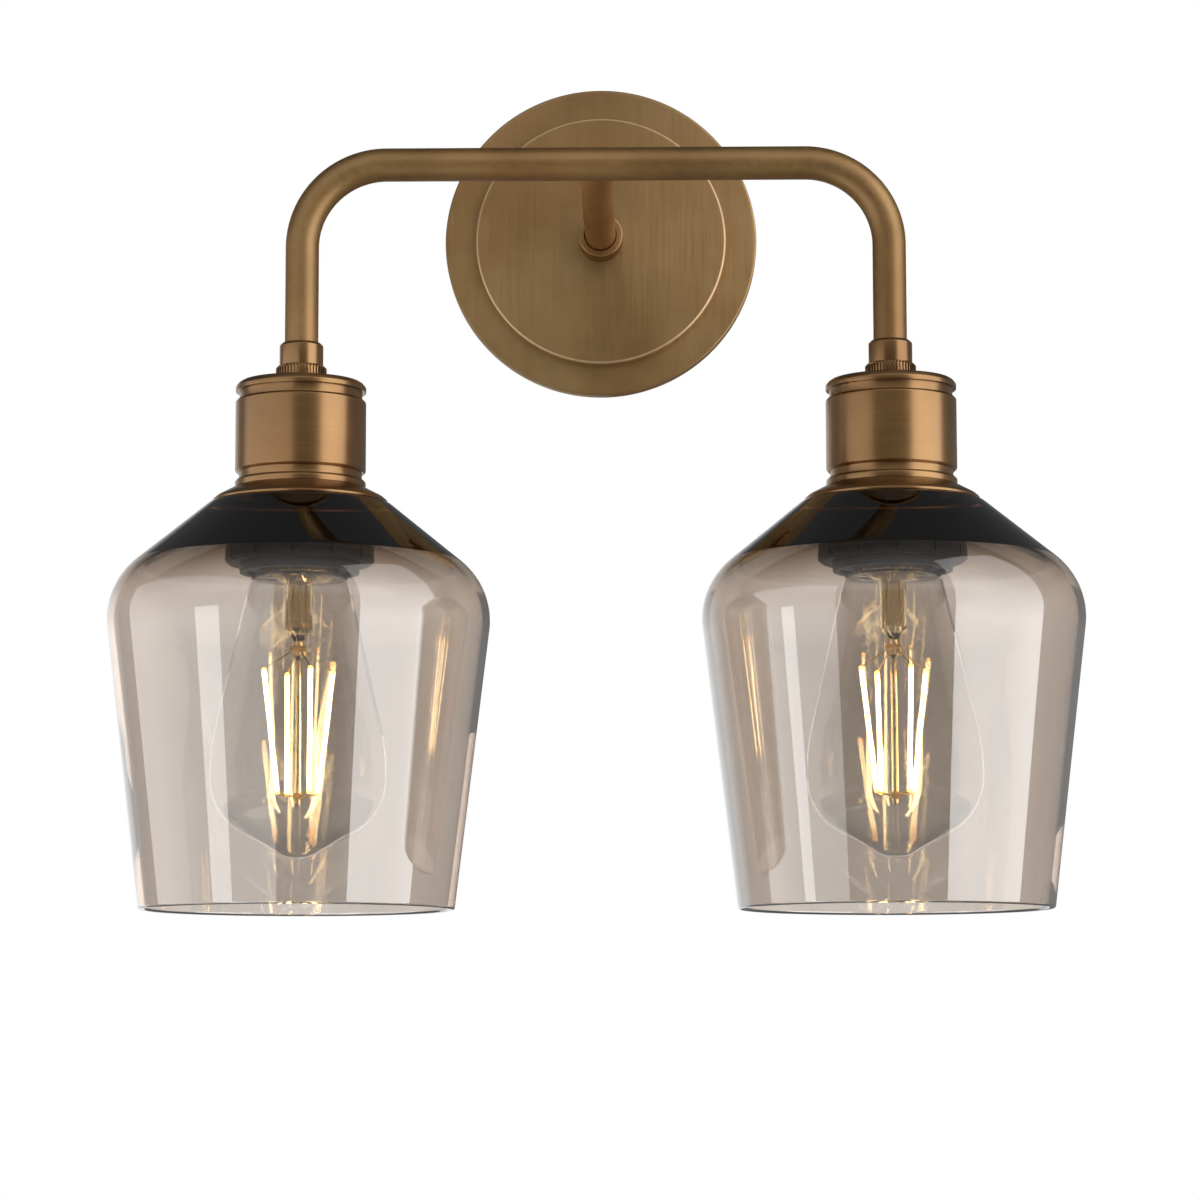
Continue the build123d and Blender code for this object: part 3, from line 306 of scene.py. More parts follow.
plate_brass = brass("brass_brushed_upright", (2200, 60, 40), (0.44, 0.58), (1.08, 1.10, 1.06),
                    spun_about="Y", anisotropy=0.3)
plate = lathe("spun_backplate", rounded(
    (62.8, 0, 0), (PLATE_EDGE, 0, 0.2), (PLATE_EDGE, PLATE_FACE, 0.8), (46, PLATE_FACE, 0),
    (46, 4.8, 0), (62.8, 4.8, 0.3)), along_wall=True, steps=240)
fit(plate, plate_brass, "fixture", "backplate")
paint(plate_brass, "plate_side_screws")

# ---- raised disc and stem collar ---------------------------------------------------------
# A pressed disc closes the backplate. Its edge is bevelled, and a paler colour on its bevel
# is a painted highlight. The collar in its middle is turned from bar, and the stem stands in
# it with a narrow gap all round.
DISC_EDGE = 51.3
DISC_FACE = 9.2
COLLAR_FACE = 19.6
NIPPLE_HOLE = 5.05
# Radii in metres between which the bevel is painted paler as a highlight.
EDGE_HIGHLIGHT_FROM, EDGE_HIGHLIGHT_TO = 0.0504, 0.0507

disc_brass = plate_brass.copy()
disc_brass.name = "brass_disc_with_rubbed_edge"
tree = disc_brass.node_tree
shader = tree.nodes["Principled BSDF"]
place = add(tree, "ShaderNodeTexCoord")
flatten = add(tree, "ShaderNodeMapping", Scale=(1, 0, 1))
reach = add(tree, "ShaderNodeVectorMath", operation="LENGTH")
tree.links.new(place.outputs["Object"], flatten.inputs["Vector"])
tree.links.new(flatten.outputs["Vector"], reach.inputs[0])
# Painted highlight: the bevel's colour is mixed towards a pale brass.
painted_highlight = spread(tree, reach.outputs["Value"], 0.0, 0.75, EDGE_HIGHLIGHT_FROM, EDGE_HIGHLIGHT_TO)
highlight_mix = add(tree, "ShaderNodeMix", data_type="RGBA")
highlight_mix.inputs[7].default_value = (0.74, 0.54, 0.33, 1.0)
tree.links.new(painted_highlight, highlight_mix.inputs["Factor"])
tree.links.new(shader.inputs["Base Color"].links[0].from_socket, highlight_mix.inputs[6])
tree.links.new(highlight_mix.outputs[2], shader.inputs["Base Color"])
disc = lathe("raised_disc", rounded(
    (50.3, PLATE_FACE, 0), (DISC_EDGE, PLATE_FACE, 0), (DISC_EDGE, 8.7, 0.15),
    (50.8, DISC_FACE, 0.15), (NIPPLE_HOLE, DISC_FACE, 0), (NIPPLE_HOLE, 8.2, 0),
    (50.3, 8.2, 0.3)), along_wall=True, steps=240)
fit(disc, disc_brass, "fixture", "face_disc")
turned_brass = brass("brass_turned_from_bar", (60, 1500, 60), (0.34, 0.46), (1.05, 0.96, 0.84))
collar = lathe("stem_collar_turned", rounded(
    (NIPPLE_HOLE, DISC_FACE, 0), (9.1, DISC_FACE, 0.2), (9.1, COLLAR_FACE, 0.5),
    (6.6, COLLAR_FACE, 0.25), (6.6, 12.2, 0), (NIPPLE_HOLE, 12.2, 0)),
    along_wall=True, steps=96)
fit(collar, turned_brass, "fixture", "stem_collar")

# ---- stem and arm ------------------------------------------------------------------------
# Both are 12.5 mm brass tube. The arm is one length, bent down at both ends round a 31.5 mm
# radius, and the stem's end is cut to its curve and brazed on.
REACH = 0.140
ARM_HALF = 0.110
ARM_END = -76.8


def node_tree(name, **inputs):
    """Empty modifier tree with named inputs, and its start and end nodes."""
    tree = bpy.data.node_groups.new(name, "GeometryNodeTree")
    kinds = {int: "NodeSocketInt", float: "NodeSocketFloat", str: "NodeSocketMaterial"}
    tree.interface.new_socket("Geometry", in_out="INPUT", socket_type="NodeSocketGeometry")
    for label, value in inputs.items():
        socket = tree.interface.new_socket(label.replace("_", " "), in_out="INPUT",
                                           socket_type=kinds[type(value)])
        if not isinstance(value, str):
            socket.default_value = value
    tree.interface.new_socket("Geometry", in_out="OUTPUT", socket_type="NodeSocketGeometry")
    return tree, tree.nodes.new("NodeGroupInput"), tree.nodes.new("NodeGroupOutput")


def wire_up(tree, *pairs):
    """Links each output with its input."""
    for start, end in pairs:
        tree.links.new(start, end)


def close_tree(tree, given, result, shape):
    """Ends a modifier tree with real geometry in the given material."""
    whole = add(tree, "GeometryNodeRealizeInstances")
    coloured = add(tree, "GeometryNodeSetMaterial")
    wire_up(tree, (shape, whole.inputs["Geometry"]),
            (whole.outputs["Geometry"], coloured.inputs["Geometry"]),
            (given.outputs["Material"], coloured.inputs["Material"]),
            (coloured.outputs["Geometry"], result.inputs["Geometry"]))


def made_with(tree, piece, sharp=32, **values):
    """Runs a tree on a piece and keeps the result as its plain mesh."""
    modifier = piece.modifiers.new(tree.name, "NODES")
    modifier.node_group = tree
    for item in tree.interface.items_tree:
        key = item.name.replace(" ", "_")
        if item.in_out == "INPUT" and key in values:
            modifier[item.identifier] = values[key]
    bpy.context.view_layer.update()
    solved = piece.evaluated_get(bpy.context.evaluated_depsgraph_get())
    mesh = bpy.data.meshes.new_from_object(solved)
    piece.modifiers.clear()
    piece.data = mesh
    finish_mesh(piece, sharp)
    return piece


tube_tree, given, result = node_tree("bent_tube", Outer_radius=0.00625, Bore_radius=0.00505,
                                     Bend_radius=0.0315, Material="")
line = add(tube_tree, "GeometryNodeMeshToCurve")
bend = add(tube_tree, "GeometryNodeFilletCurve", mode="POLY", Count=40)
skins = add(tube_tree, "GeometryNodeJoinGeometry")
for label in ("Outer radius", "Bore radius"):
    ring = add(tube_tree, "GeometryNodeCurvePrimitiveCircle", Resolution=72)
    skin = add(tube_tree, "GeometryNodeCurveToMesh")
    wire_up(tube_tree, (given.outputs[label], ring.inputs["Radius"]),
            (bend.outputs["Curve"], skin.inputs["Curve"]),
            (ring.outputs["Curve"], skin.inputs["Profile Curve"]),
            (skin.outputs["Mesh"], skins.inputs["Geometry"]))
wire_up(tube_tree, (given.outputs["Geometry"], line.inputs["Mesh"]),
        (line.outputs["Curve"], bend.inputs["Curve"]),
        (given.outputs["Bend radius"], bend.inputs["Radius"]))
close_tree(tube_tree, given, result, skins.outputs["Geometry"])

tube_brass = brass("brass_tube", (420, 420, 420), (0.48, 0.58), (0.95, 0.95, 0.87))
# The stem is the same tube as the arm; its much paler tone is painted light that brightens it.
stem_brass_painted_light = brass("brass_stem", (420, 900, 420), (0.42, 0.52), (1.6, 1.42, 1.3))
arm = new_piece("bent_arm", [
    (-ARM_HALF, -REACH, ARM_END / 1000), (-ARM_HALF, -REACH, 0), (ARM_HALF, -REACH, 0),
    (ARM_HALF, -REACH, ARM_END / 1000)], [(0, 1), (1, 2), (2, 3)], [])
made_with(tube_tree, arm, Material=tube_brass)
shape = bmesh.new()
shape.from_mesh(arm.data)
for side in (-1, 1):
    ends = [edge for edge in shape.edges
            if edge.is_boundary and side * edge.verts[0].co.x > 0]
    bmesh.ops.bridge_loops(shape, edges=ends)
bmesh.ops.recalc_face_normals(shape, faces=shape.faces)
shape.to_mesh(arm.data)
shape.free()
arm.data.shade_smooth()
arm.data.set_sharp_from_angle(angle=math.radians(40))
fit(arm, tube_brass, "fixture", "arm_tube")
paint(stem_brass_painted_light, "stem_tube")

# ---- couplers and lock rings -------------------------------------------------------------
# A short sleeve finishes each end of the arm. Below it a ring with straight knurling screws
# down on the cup. Heights are in mm from the arm's middle line.
COUPLER_TOP = -68.1
CUP_TOP = -80.8
SIDES = (("left", -ARM_HALF), ("right", ARM_HALF))
cup_brass = brass("brass_turned_upright", (40, 40, 2200), (0.28, 0.38), (0.76, 0.67, 0.47),
                  lacquer=0.8, spun_about="Z", anisotropy=0.5)

copy_tree, given, result = node_tree("copies_round_a_drop", Count=4, Step_angle=1.0,
                                     Axis_x=0.0, Axis_y=0.0, Material="")
spots = add(copy_tree, "GeometryNodePoints")
number = add(copy_tree, "GeometryNodeInputIndex")
angle = add(copy_tree, "ShaderNodeMath", operation="MULTIPLY")
turned = add(copy_tree, "ShaderNodeCombineXYZ")
axis = add(copy_tree, "ShaderNodeCombineXYZ")
copies = add(copy_tree, "GeometryNodeInstanceOnPoints")
move = add(copy_tree, "GeometryNodeTransform")
wire_up(copy_tree,
        (given.outputs["Count"], spots.inputs["Count"]),
        (number.outputs["Index"], angle.inputs[0]),
        (given.outputs["Step angle"], angle.inputs[1]),
        (angle.outputs["Value"], turned.inputs["Z"]),
        (spots.outputs["Points"], copies.inputs["Points"]),
        (given.outputs["Geometry"], copies.inputs["Instance"]),
        (turned.outputs["Vector"], copies.inputs["Rotation"]),
        (given.outputs["Axis x"], axis.inputs["X"]),
        (given.outputs["Axis y"], axis.inputs["Y"]),
        (copies.outputs["Instances"], move.inputs["Geometry"]),
        (axis.outputs["Vector"], move.inputs["Translation"]))
close_tree(copy_tree, given, result, move.outputs["Geometry"])


def grooved_ring(name, profile, x, count, width, depth, material, top=1e9):
    """Ring with count straight grooves up its side, from one sector copied round the drop.

    The grooves are width wide and depth deep, in mm, and run below the height top."""
    radius = max(r for r, h in profile)
    step = 2 * math.pi / count
    half = width / 2 / radius
    wall = 0.25 * half
    angles = [(-step / 2, 0), (-step / 4 - half / 2, 0), (-half - wall, 0), (-half, depth),
              (half, depth), (half + wall, 0), (step / 4 + half / 2, 0), (step / 2, 0)]
    vertices, faces = [], []
    for turn, cut in angles:
        for r, h in profile:
            reach = (min(r, radius - cut) if h <= top else r) / 1000
            vertices.append((reach * math.cos(turn), reach * math.sin(turn), h / 1000))
    size = len(profile)
    for row in range(len(angles) - 1):
        for point in range(size):
            after = (point + 1) % size
            low, high = row * size, (row + 1) * size
            faces.append((low + point, low + after, high + after, high + point))
    return made_with(copy_tree, new_piece(name, vertices, [], faces), sharp=25, Count=count,
                     Step_angle=step, Axis_x=x, Axis_y=-REACH, Material=material)


for side, x in SIDES:
    coupler = lathe(side + "_coupler_sleeve", rounded(
        (6.3, COUPLER_TOP, 0), (7.05, COUPLER_TOP, 0.3), (8.15, -69.2, 0.4),
        (8.15, ARM_END, 0.15), (6.3, ARM_END, 0)), (x, -REACH), steps=96)
    fit(coupler, cup_brass, "fixture", side + "_tube_coupler")
    knurled = grooved_ring(side + "_knurled_ring", rounded(
        (NIPPLE_HOLE, ARM_END, 0), (8.5, ARM_END, 0.2), (9.5, -77.8, 0.3), (9.5, CUP_TOP, 0.15),
        (NIPPLE_HOLE, CUP_TOP, 0), steps=2), x, count=44, width=0.7, depth=0.5,
        material=cup_brass)
    fit(knurled, cup_brass, "fixture", side + "_lock_ring")

# ---- cups --------------------------------------------------------------------------------
# Each lampholder hides in a cup turned from brass, brushed round and round, with a domed top
# and a bead and groove at either end.
CUP_FOOT = -123.1
CUP_OUTSIDE = 24.3
GROOVE = 22.85

for side, x in SIDES:
    cup = lathe(side + "_turned_cup", rounded(
        (NIPPLE_HOLE, CUP_TOP, 0), (9.5, CUP_TOP, 0), (22.4, -83.25, 0.8), (23.35, -83.87, 0.8),
        (CUP_OUTSIDE, -85.1, 0.8), (CUP_OUTSIDE, -86.85, 0.3), (GROOVE, -86.85, 0.1),
        (GROOVE, -90.0, 0.1), (23.6, -90.0, 0.3), (CUP_OUTSIDE, -90.8, 0.5),
        (CUP_OUTSIDE, -116.5, 0.5), (23.6, -117.3, 0.3), (GROOVE, -117.3, 0.1),
        (GROOVE, -120.1, 0.1), (23.6, -120.1, 0.3), (CUP_OUTSIDE, -120.9, 0.5),
        (CUP_OUTSIDE, CUP_FOOT, 0.35), (21.6, CUP_FOOT, 0), (21.6, -85.8, 0), (20.0, -84.2, 0),
        (NIPPLE_HOLE, -84.2, 0)), (x, -REACH), steps=200)
    fit(cup, cup_brass, "fixture", side + "_cup")

# ---- gallery plates ----------------------------------------------------------------------
# A shallow spun dish under each cup covers the top of the glass.
for side, x in SIDES:
    gallery = lathe(side + "_gallery_dish", rounded(
        (20.0, CUP_FOOT, 0), (24.6, CUP_FOOT, 0.5), (31.0, -126.5, 0.8), (32.5, -127.8, 0.5),
        (32.5, -128.7, 0.2), (31.3, -128.7, 0.2), (31.3, -127.8, 0.2), (30.4, -127.7, 0.2),
        (24.6, -124.3, 0.4), (20.0, -124.3, 0)), (x, -REACH), steps=200)
    fit(gallery, cup_brass, "fixture", side + "_gallery")

# ---- lampholders -------------------------------------------------------------------------
# Moulded black holders with a threaded skirt. Inside are a porcelain block with two terminals,
# a sprung brass contact and the screw shell for the bulb.
moulding, tree, shader = new_material("black_moulding")
speck = grain(tree, 500.0, detail=3.0)
tree.links.new(ramp(tree, speck, (0.3, (0.010, 0.008, 0.007)), (0.7, (0.022, 0.018, 0.015))),
               shader.inputs["Base Color"])
tree.links.new(spread(tree, grain(tree, 90.0), 0.40, 0.55), shader.inputs["Roughness"])
shader.inputs["Specular IOR Level"].default_value = 0.25
relief(tree, shader, speck, 0.00004)
porcelain, tree, shader = mottled("white_porcelain", 120.0, (0.72, 0.70, 0.65),
                                  (0.84, 0.83, 0.79), (0.12, 0.22))
shader.inputs["Coat Weight"].default_value = 0.5
contact_metal = brass("brass_contact", (300, 300, 300), (0.2, 0.3), (1.9, 1.9, 1.9), lacquer=0.0)
for side, x in SIDES:
    paint(zinc, side + "_arm_nipple", side + "_terminal_screws")
    paint(moulding, side + "_lampholder_cap", side + "_lampholder_body")
    paint(porcelain, side + "_contact_block")
    paint(contact_metal, side + "_centre_contact", side + "_screw_shell")

# ---- glass shades ------------------------------------------------------------------------
# Smoked glass, blown and fire polished. The neck is left thick and thins down the shoulder, so
# the smoke looks nearly black there and pale in the thin wall.
SHADE_TOP = -128.9
NECK_FLOOR = -137.4


def axes(tree, kind="Object"):
    """X, Y and Z of a kind of texture coordinates."""
    place = add(tree, "ShaderNodeTexCoord")
    apart = add(tree, "ShaderNodeSeparateXYZ")
    tree.links.new(place.outputs[kind], apart.inputs["Vector"])
    return apart.outputs


smoked, tree, shader = new_material("smoked_glass")
shader.inputs["Transmission Weight"].default_value = 1.0
shader.inputs["IOR"].default_value = 1.55
# The wall mirrors the room more than the shoulder does, up to the height where it bends in.
shader.inputs["Coat IOR"].default_value = 2.0
shader.inputs["Coat Roughness"].default_value = 0.01
tree.links.new(spread(tree, axes(tree)["Z"], 1.0, 0.0, -0.179, -0.164),
               shader.inputs["Coat Weight"])
wave = grain(tree, 14.0, detail=2.0)
tree.links.new(ramp(tree, wave, (0.3, (0.96, 0.95, 0.94)), (0.7, (1.0, 1.0, 1.0))),
               shader.inputs["Base Color"])
tree.links.new(spread(tree, wave, 0.0, 0.008), shader.inputs["Roughness"])
relief(tree, shader, wave, 0.0004, 0.02)
smoke = add(tree, "ShaderNodeVolumeAbsorption", Color=(0.687, 0.585, 0.487, 1.0), Density=325.0)
tree.links.new(smoke.outputs["Volume"], tree.nodes["Material Output"].inputs["Volume"])
for side, x in SIDES:
    profile = rounded(
        (20.6, NECK_FLOOR, 0.5), (20.6, SHADE_TOP, 0.5), (33.6, SHADE_TOP, 4.0),
        (72.36, -160.6, 28.0), (57.9, -279.7, 1.1), (55.32, -279.39, 1.1),
        (69.61, -161.71, 25.4), (58.4, -152.54, 0), (31.0, NECK_FLOOR, 1.0), steps=24)
    shade = lathe(side + "_blown_shade", profile, (x, -REACH), steps=200, sharp=180)
    fit(shade, smoked, side + "_shade", side + "_glass_shade")
    shade.visible_shadow = False

# ---- shade rings -------------------------------------------------------------------------
# A black moulded ring screws up on each lampholder's skirt and clamps the glass. Its lower edge
# has a plain lip, and straight grip slots run up its side.
RING_TOP = -137.6
SLOT_TOP = -140.41

for side, x in SIDES:
    ring = grooved_ring(side + "_slotted_ring", rounded(
        (19.85, RING_TOP, 0), (21.85, RING_TOP, 0), (21.85, -147.2, 0), (25.85, -147.2, 0),
        (25.85, RING_TOP, 0), (26.95, RING_TOP, 0.3), (27.85, -138.5, 0.3), (27.85, -140.4, 0),
        (27.85, -140.42, 0), (27.85, -148.7, 0.4), (26.35, -150.2, 0.4), (22.3, -150.2, 0),
        (22.3, -154.0, 0.3), (19.85, -154.0, 0.3), steps=2), x, count=12, width=0.8, depth=0.6,
        material=moulding, top=SLOT_TOP)
    fit(ring, moulding, side + "_shade_ring", side + "_shade_ring")

# ---- bulb caps ---------------------------------------------------------------------------
# Each bulb screws in by a rolled brass cap, with a soldered centre contact on black glass. A
# small board in the cap feeds the filaments.
black_glass, tree, shader = mottled("black_glass", 80.0, (0.008, 0.008, 0.01),
                                    (0.02, 0.02, 0.025), (0.08, 0.16))
board, tree, shader = mottled("board_green", 400.0, (0.02, 0.12, 0.05), (0.04, 0.22, 0.09),
                              (0.3, 0.5), (0.4, 0.6))
for side, x in SIDES:
    paint(contact_metal, side + "_bulb_cap")
    paint(tinned, side + "_bulb_contact")
    paint(black_glass, side + "_bulb_insulator")
    paint(board, side + "_bulb_driver_board")

# ---- bulb glass and stem -----------------------------------------------------------------
# Clear blown glass, pear shaped, with a seal-off nub at the end. A glass stem with a flared
# foot stands in the neck and carries the wires and filaments.
BULB_TOP = -151.0


def clear_glass(name, deep, light):
    """Glass between two faint tints."""
    material, tree, shader = mottled(name, 30.0, deep, light, (0.0, 0.01), detail=2.0)
    shader.inputs["Transmission Weight"].default_value = 1.0
    shader.inputs["IOR"].default_value = 1.47
    shader.inputs["Coat Weight"].default_value = 1.0
    shader.inputs["Coat IOR"].default_value = 1.7
    shader.inputs["Coat Roughness"].default_value = 0.01
    return material


clear = clear_glass("clear_glass", (0.955, 0.935, 0.90), (0.975, 0.96, 0.935))
# The stem's gold tint is painted glow, standing in for the filaments' light inside the bulb.
stem_glass = clear_glass("stem_glass", (1.0, 0.86, 0.60), (1.0, 0.92, 0.72))
for side, x in SIDES:
    outside = [
        (12.7, BULB_TOP, 0), (12.7, -154.4, 0.9), (18.1, -155.8, 3.0), (32.9, -220.8, 80.0),
        (32.9, -245.5, 24.0), (9.0, -257.7, 4.0), (4.0, -260.8, 10.0), (0, -260.8, 0)]
    inside = [
        (0, -260.0, 0), (3.78, -260.0, 9.2), (8.72, -256.93, 3.2), (32.1, -245.01, 23.2),
        (32.1, -220.71, 80.8), (17.37, -156.44, 2.2), (11.9, -155.01, 1.7), (11.9, BULB_TOP, 0)]
    bulb = lathe(side + "_bulb_envelope", rounded(*outside, *inside, steps=16), (x, -REACH),
                 steps=128, sharp=180)
    fit(bulb, clear, side + "_bulb", side + "_bulb_glass")
    bulb.visible_shadow = False
    paint(stem_glass, side + "_bulb_stem")
    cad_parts[side + "_bulb_stem"].visible_shadow = False

# ---- filaments and their wires -----------------------------------------------------------
# Four straight rods coated in yellow phosphor stand round the glass stem, lit. Thin stiff wires
# hold them at both ends, and two leads come down from the neck. Places are a radius, a turn in
# degrees and a height, and a coil is a radius, a pitch, turns, a top and a half thickness, in mm.
FILAMENT_COUNT = 4
FILAMENT = ((13.4, 24.0, -191.4), (8.6, 34.0, -236.4), 0.9)
UPPER_WIRE = ((3.1, 24.0, -184.4), (13.4, 24.0, -191.05), 0.3)
LOWER_WIRE = ((1.5, 34.0, -237.9), (8.6, 34.0, -236.75), 0.3)
LEAD_COUNT = 2
LEAD = ((2.2, 0.0, -158.0), (2.9, 0.0, -183.2), 0.25)
UPPER_COIL = (3.15, 0.75, 1, -183.0, 0.2)
LOWER_COIL = (1.6, 0.75, 3, -236.6, 0.2)

glow, tree, shader = new_material("filament_glow")
(_, _, filament_top), (_, _, filament_end), _ = FILAMENT
height = spread(tree, axes(tree)["Z"], 0.0, 1.0, filament_end / 1000, filament_top / 1000)
tint = ramp(tree, height, (0.0, (1.0, 0.50, 0.08)), (0.05, (1.0, 0.81, 0.43)),
            (0.95, (1.0, 0.81, 0.43)), (1.0, (1.0, 0.50, 0.08)))
tree.links.new(tint, shader.inputs["Base Color"])
tree.links.new(tint, shader.inputs["Emission Color"])
shader.inputs["Emission Strength"].default_value = 14.0
gilt_wire = plated_steel("gilt_wire", (0.62, 0.42, 0.18), (0.85, 0.62, 0.30))


def spot(radius, degrees, height):
    """Point in metres beside a drop's axis, from a radius, a turn and a height in mm."""
    turn = math.radians(degrees)
    return Vector((radius * math.cos(turn), radius * math.sin(turn), height)) / 1000


def rod(shape, start, end, radius, sides=16):
    """Adds a straight rod with domed ends to a bmesh. The radius is in mm."""
    along = (end - start).normalized()
    turn = along.to_track_quat("Z", "Y").to_matrix()
    radius /= 1000
    rings = []
    for place, share, lift in ((start, 0.0, -1.0), (start, 0.7, -0.7), (start, 1.0, 0.0),
                               (end, 1.0, 0.0), (end, 0.7, 0.7), (end, 0.0, 1.0)):
        middle = place + along * lift * radius * 0.9
        if share == 0.0:
            rings.append([shape.verts.new(middle)])
            continue
        rings.append([shape.verts.new(middle + turn @ Vector((
            share * radius * math.cos(2 * math.pi * n / sides),
            share * radius * math.sin(2 * math.pi * n / sides), 0))) for n in range(sides)])
    for one, two in zip(rings, rings[1:]):
        for n in range(sides):
            after = (n + 1) % sides
            corners = [one[n % len(one)], one[after % len(one)], two[after % len(two)],
                       two[n % len(two)]]
            shape.faces.new(list(dict.fromkeys(corners)))


def coil(shape, radius, pitch, turns, top, thickness, steps=20, sides=6):
    """Adds a small wire coil round the drop's axis to a bmesh. The sizes are in mm."""
    rings = []
    for step in range(turns * steps + 1):
        turn = 2 * math.pi * step / steps
        out = Vector((math.cos(turn), math.sin(turn), 0))
        middle = out * radius + Vector((0, 0, top - pitch * step / steps))
        rings.append([shape.verts.new((middle + thickness * (
            out * math.cos(2 * math.pi * n / sides)
            + Vector((0, 0, math.sin(2 * math.pi * n / sides))))) / 1000) for n in range(sides)])
    for one, two in zip(rings, rings[1:]):
        for n in range(sides):
            after = (n + 1) % sides
            shape.faces.new((one[n], one[after], two[after], two[n]))
    shape.faces.new(rings[0])
    shape.faces.new(rings[-1])


for side, x in SIDES:
    for name, material, node, count, rods, coils in (
            ("_glowing_filaments", glow, "_bulb_filaments", FILAMENT_COUNT, (FILAMENT,), ()),
            ("_filament_wires", gilt_wire, "_bulb_support_wires", FILAMENT_COUNT,
             (UPPER_WIRE, LOWER_WIRE), (UPPER_COIL, LOWER_COIL)),
            ("_lead_wires", gilt_wire, "_bulb_support_wires", LEAD_COUNT, (LEAD,), ())):
        shape = bmesh.new()
        for start, end, radius in rods:
            rod(shape, spot(*start), spot(*end), radius)
        for sizes in coils:
            coil(shape, *sizes)
        piece = new_piece(side + name, [], [], [])
        shape.to_mesh(piece.data)
        shape.free()
        made_with(copy_tree, piece, Count=count, Step_angle=2 * math.pi / count, Axis_x=x,
                  Axis_y=-REACH, Material=material)
        fit(piece, material, side + "_bulb", side + node)

# ---- camera, light and floor -------------------------------------------------------------
# The camera stands in front and a little below, looking up at seven degrees. A wide soft panel
# stands far to the right, a pale card and a bright low strip to the left, and a pale floor lies
# below.
CAMERA_PLACE = (0.023292, -1.506050, -0.334841)
CAMERA_LOOK = (-0.01584451, 0.99224929, 0.12324889)
CAMERA_SWING = math.radians(-0.91)
CAMERA_ROLL = math.radians(-0.09)
CAMERA_LENS = 111.489
FLOOR_LEVEL = -1.9
FLOOR_HALF = 4

scene = bpy.context.scene
scene.view_settings.view_transform = "Standard"
look = Vector(CAMERA_LOOK)
across = Vector((math.cos(CAMERA_SWING), -math.sin(CAMERA_SWING), 0))
upward = across.cross(look)
right = math.cos(CAMERA_ROLL) * across + math.sin(CAMERA_ROLL) * upward
up = -math.sin(CAMERA_ROLL) * across + math.cos(CAMERA_ROLL) * upward
camera = bpy.data.objects.new("camera", bpy.data.cameras.new("camera"))
camera.data.lens = CAMERA_LENS
camera.data.sensor_width = 36.0
camera.data.clip_start = 0.01
camera.data.clip_end = 50.0
turn = Matrix((right, up, -look)).transposed().to_4x4()
camera.matrix_world = Matrix.Translation(CAMERA_PLACE) @ turn
scene.collection.objects.link(camera)
scene.camera = camera


def soft_panel(name, start, end, low, high, brightness):
    """Upright area light between two places on the plan and two heights, facing the object."""
    start, end = Vector((*start, 0)), Vector((*end, 0))
    lamp = bpy.data.lights.new(name, "AREA")
    lamp.shape = "RECTANGLE"
    lamp.size = (end - start).length
    lamp.size_y = high - low
    lamp.energy = brightness * math.pi * lamp.size * lamp.size_y
    place = (start + end) / 2
    facing = (end - start).cross(Vector((0, 0, 1))).normalized()
    if facing.dot(Vector((0, -REACH, 0)) - place) < 0:
        facing = -facing
    place.z = (low + high) / 2
    turn = facing.to_track_quat("-Z", "Y").to_matrix().to_4x4()
    panel = bpy.data.objects.new(name, lamp)
    panel.matrix_world = Matrix.Translation(place) @ turn
    panel.visible_camera = False
    panel.visible_transmission = False
    scene.collection.objects.link(panel)


soft_panel("panel_right", (0.72, -1.10), (1.35, -0.05), -1.0, 1.6, 2.1)
soft_panel("card_left", (-0.165, -0.53), (-0.55, 0.0), -0.9, 0.0, 1.0)
soft_panel("strip_left", (-0.278, -0.363), (-0.317, -0.309), -0.7, -0.18, 1.6)

world = bpy.data.worlds.new("studio")
world.use_nodes = True
scene.world = world
tree = world.node_tree
tree.nodes.clear()


def backdrop(colour=None, strength=1.0):
    """Light from the room, white unless a colour is linked."""
    node = add(tree, "ShaderNodeBackground", Color=(1, 1, 1, 1), Strength=strength)
    if colour:
        tree.links.new(colour, node.inputs["Color"])
    return node.outputs["Background"]


def either(share, one, two):
    """The first light where share is 0 and the second where it is 1."""
    node = add(tree, "ShaderNodeMixShader")
    tree.links.new(share, node.inputs["Fac"])
    tree.links.new(one, node.inputs[1])
    tree.links.new(two, node.inputs[2])
    return node.outputs["Shader"]


def grey(value):
    return value, value, value


direction = axes(tree, "Generated")
# Through glass the room is white all round below eye level, darker behind the camera and dark
# above.
ceiling = ramp(tree, direction["Z"], (0.30, (1, 1, 1)), (0.48, (0.03, 0.03, 0.032)))
front = spread(tree, direction["Y"], 0.22, 1.0, -0.35, 0.15)
through_glass = times(tree, ceiling, front)
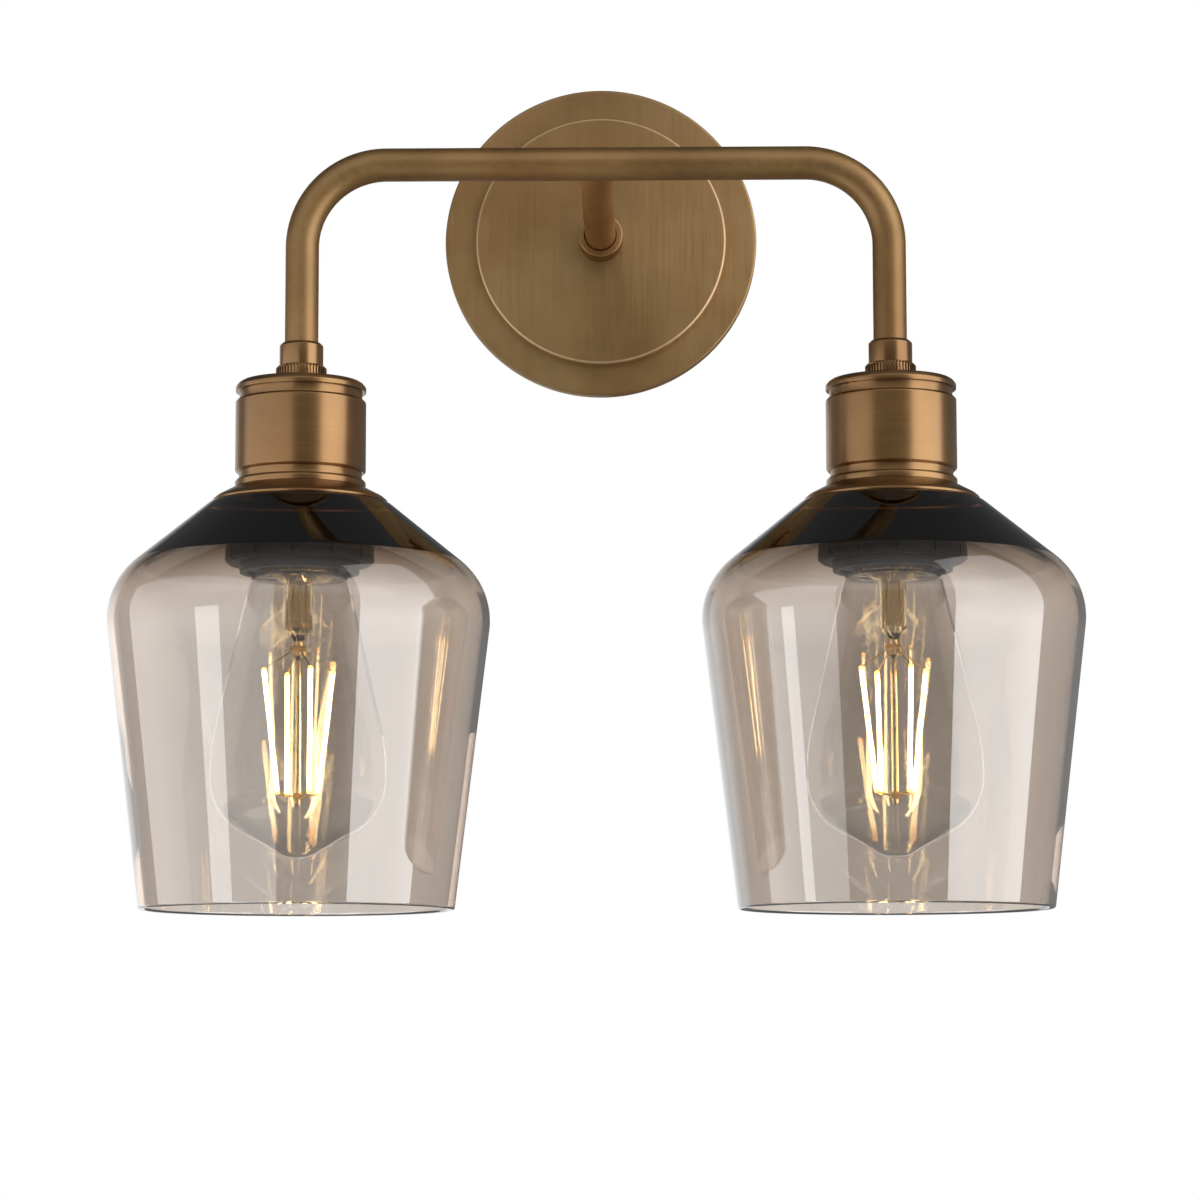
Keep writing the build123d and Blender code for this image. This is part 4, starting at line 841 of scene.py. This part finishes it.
# In reflections the left of the room is pale, the camera's side dark and the right dim.
towards = add(tree, "ShaderNodeMath", operation="MULTIPLY")
towards.inputs[1].default_value = -1.0
tree.links.new(direction["Y"], towards.inputs[0])
bearing = add(tree, "ShaderNodeMath", operation="ARCTAN2")
tree.links.new(direction["X"], bearing.inputs[0])
tree.links.new(towards.outputs["Value"], bearing.inputs[1])
compass = spread(tree, bearing.outputs["Value"], 0.0, 1.0, -math.pi, math.pi)
walls = ramp(tree, compass, *((0.5 + degrees / 360, grey(value)) for degrees, value in (
    (-178, 0.9), (-145, 0.9), (-130, 0.35), (-112, 0.35), (-100, 0.5), (-60, 0.3), (-40, 0.16),
    (32, 0.16), (44, 0.5), (90, 0.5), (98, 0.35), (140, 0.3), (178, 0.15))))
overhead = ramp(tree, spread(tree, direction["Y"], 0.0, 1.0, -1.0, 1.0), (0.22, grey(1.0)),
                (0.40, grey(0.3)), (0.55, grey(0.12)))
height = spread(tree, direction["Z"], 0.0, 1.0, 0.20, 0.42)
mirrored = add(tree, "ShaderNodeMix", data_type="RGBA")
tree.links.new(height, mirrored.inputs["Factor"])
tree.links.new(walls, mirrored.inputs[6])
tree.links.new(overhead, mirrored.inputs[7])
mirrored = mirrored.outputs[2]
path = add(tree, "ShaderNodeLightPath")
lit = either(path.outputs["Is Glossy Ray"], backdrop(strength=0.25), backdrop(mirrored))
lit = either(path.outputs["Is Transmission Ray"], lit, backdrop(through_glass))
lit = either(path.outputs["Is Camera Ray"], lit, backdrop())
out = add(tree, "ShaderNodeOutputWorld")
tree.links.new(lit, out.inputs["Surface"])

floor = new_piece("floor", [
    (x * FLOOR_HALF, y * FLOOR_HALF, FLOOR_LEVEL) for x, y in ((-1, -1), (1, -1), (1, 1), (-1, 1))
], [], [(0, 1, 2, 3)])
pale, tree, shader = new_material("pale_floor")
shader.inputs["Base Color"].default_value = (0.86, 0.86, 0.85, 1)
tree.links.new(spread(tree, grain(tree, 3.0), 0.7, 0.8), shader.inputs["Roughness"])
floor.data.materials.append(pale)
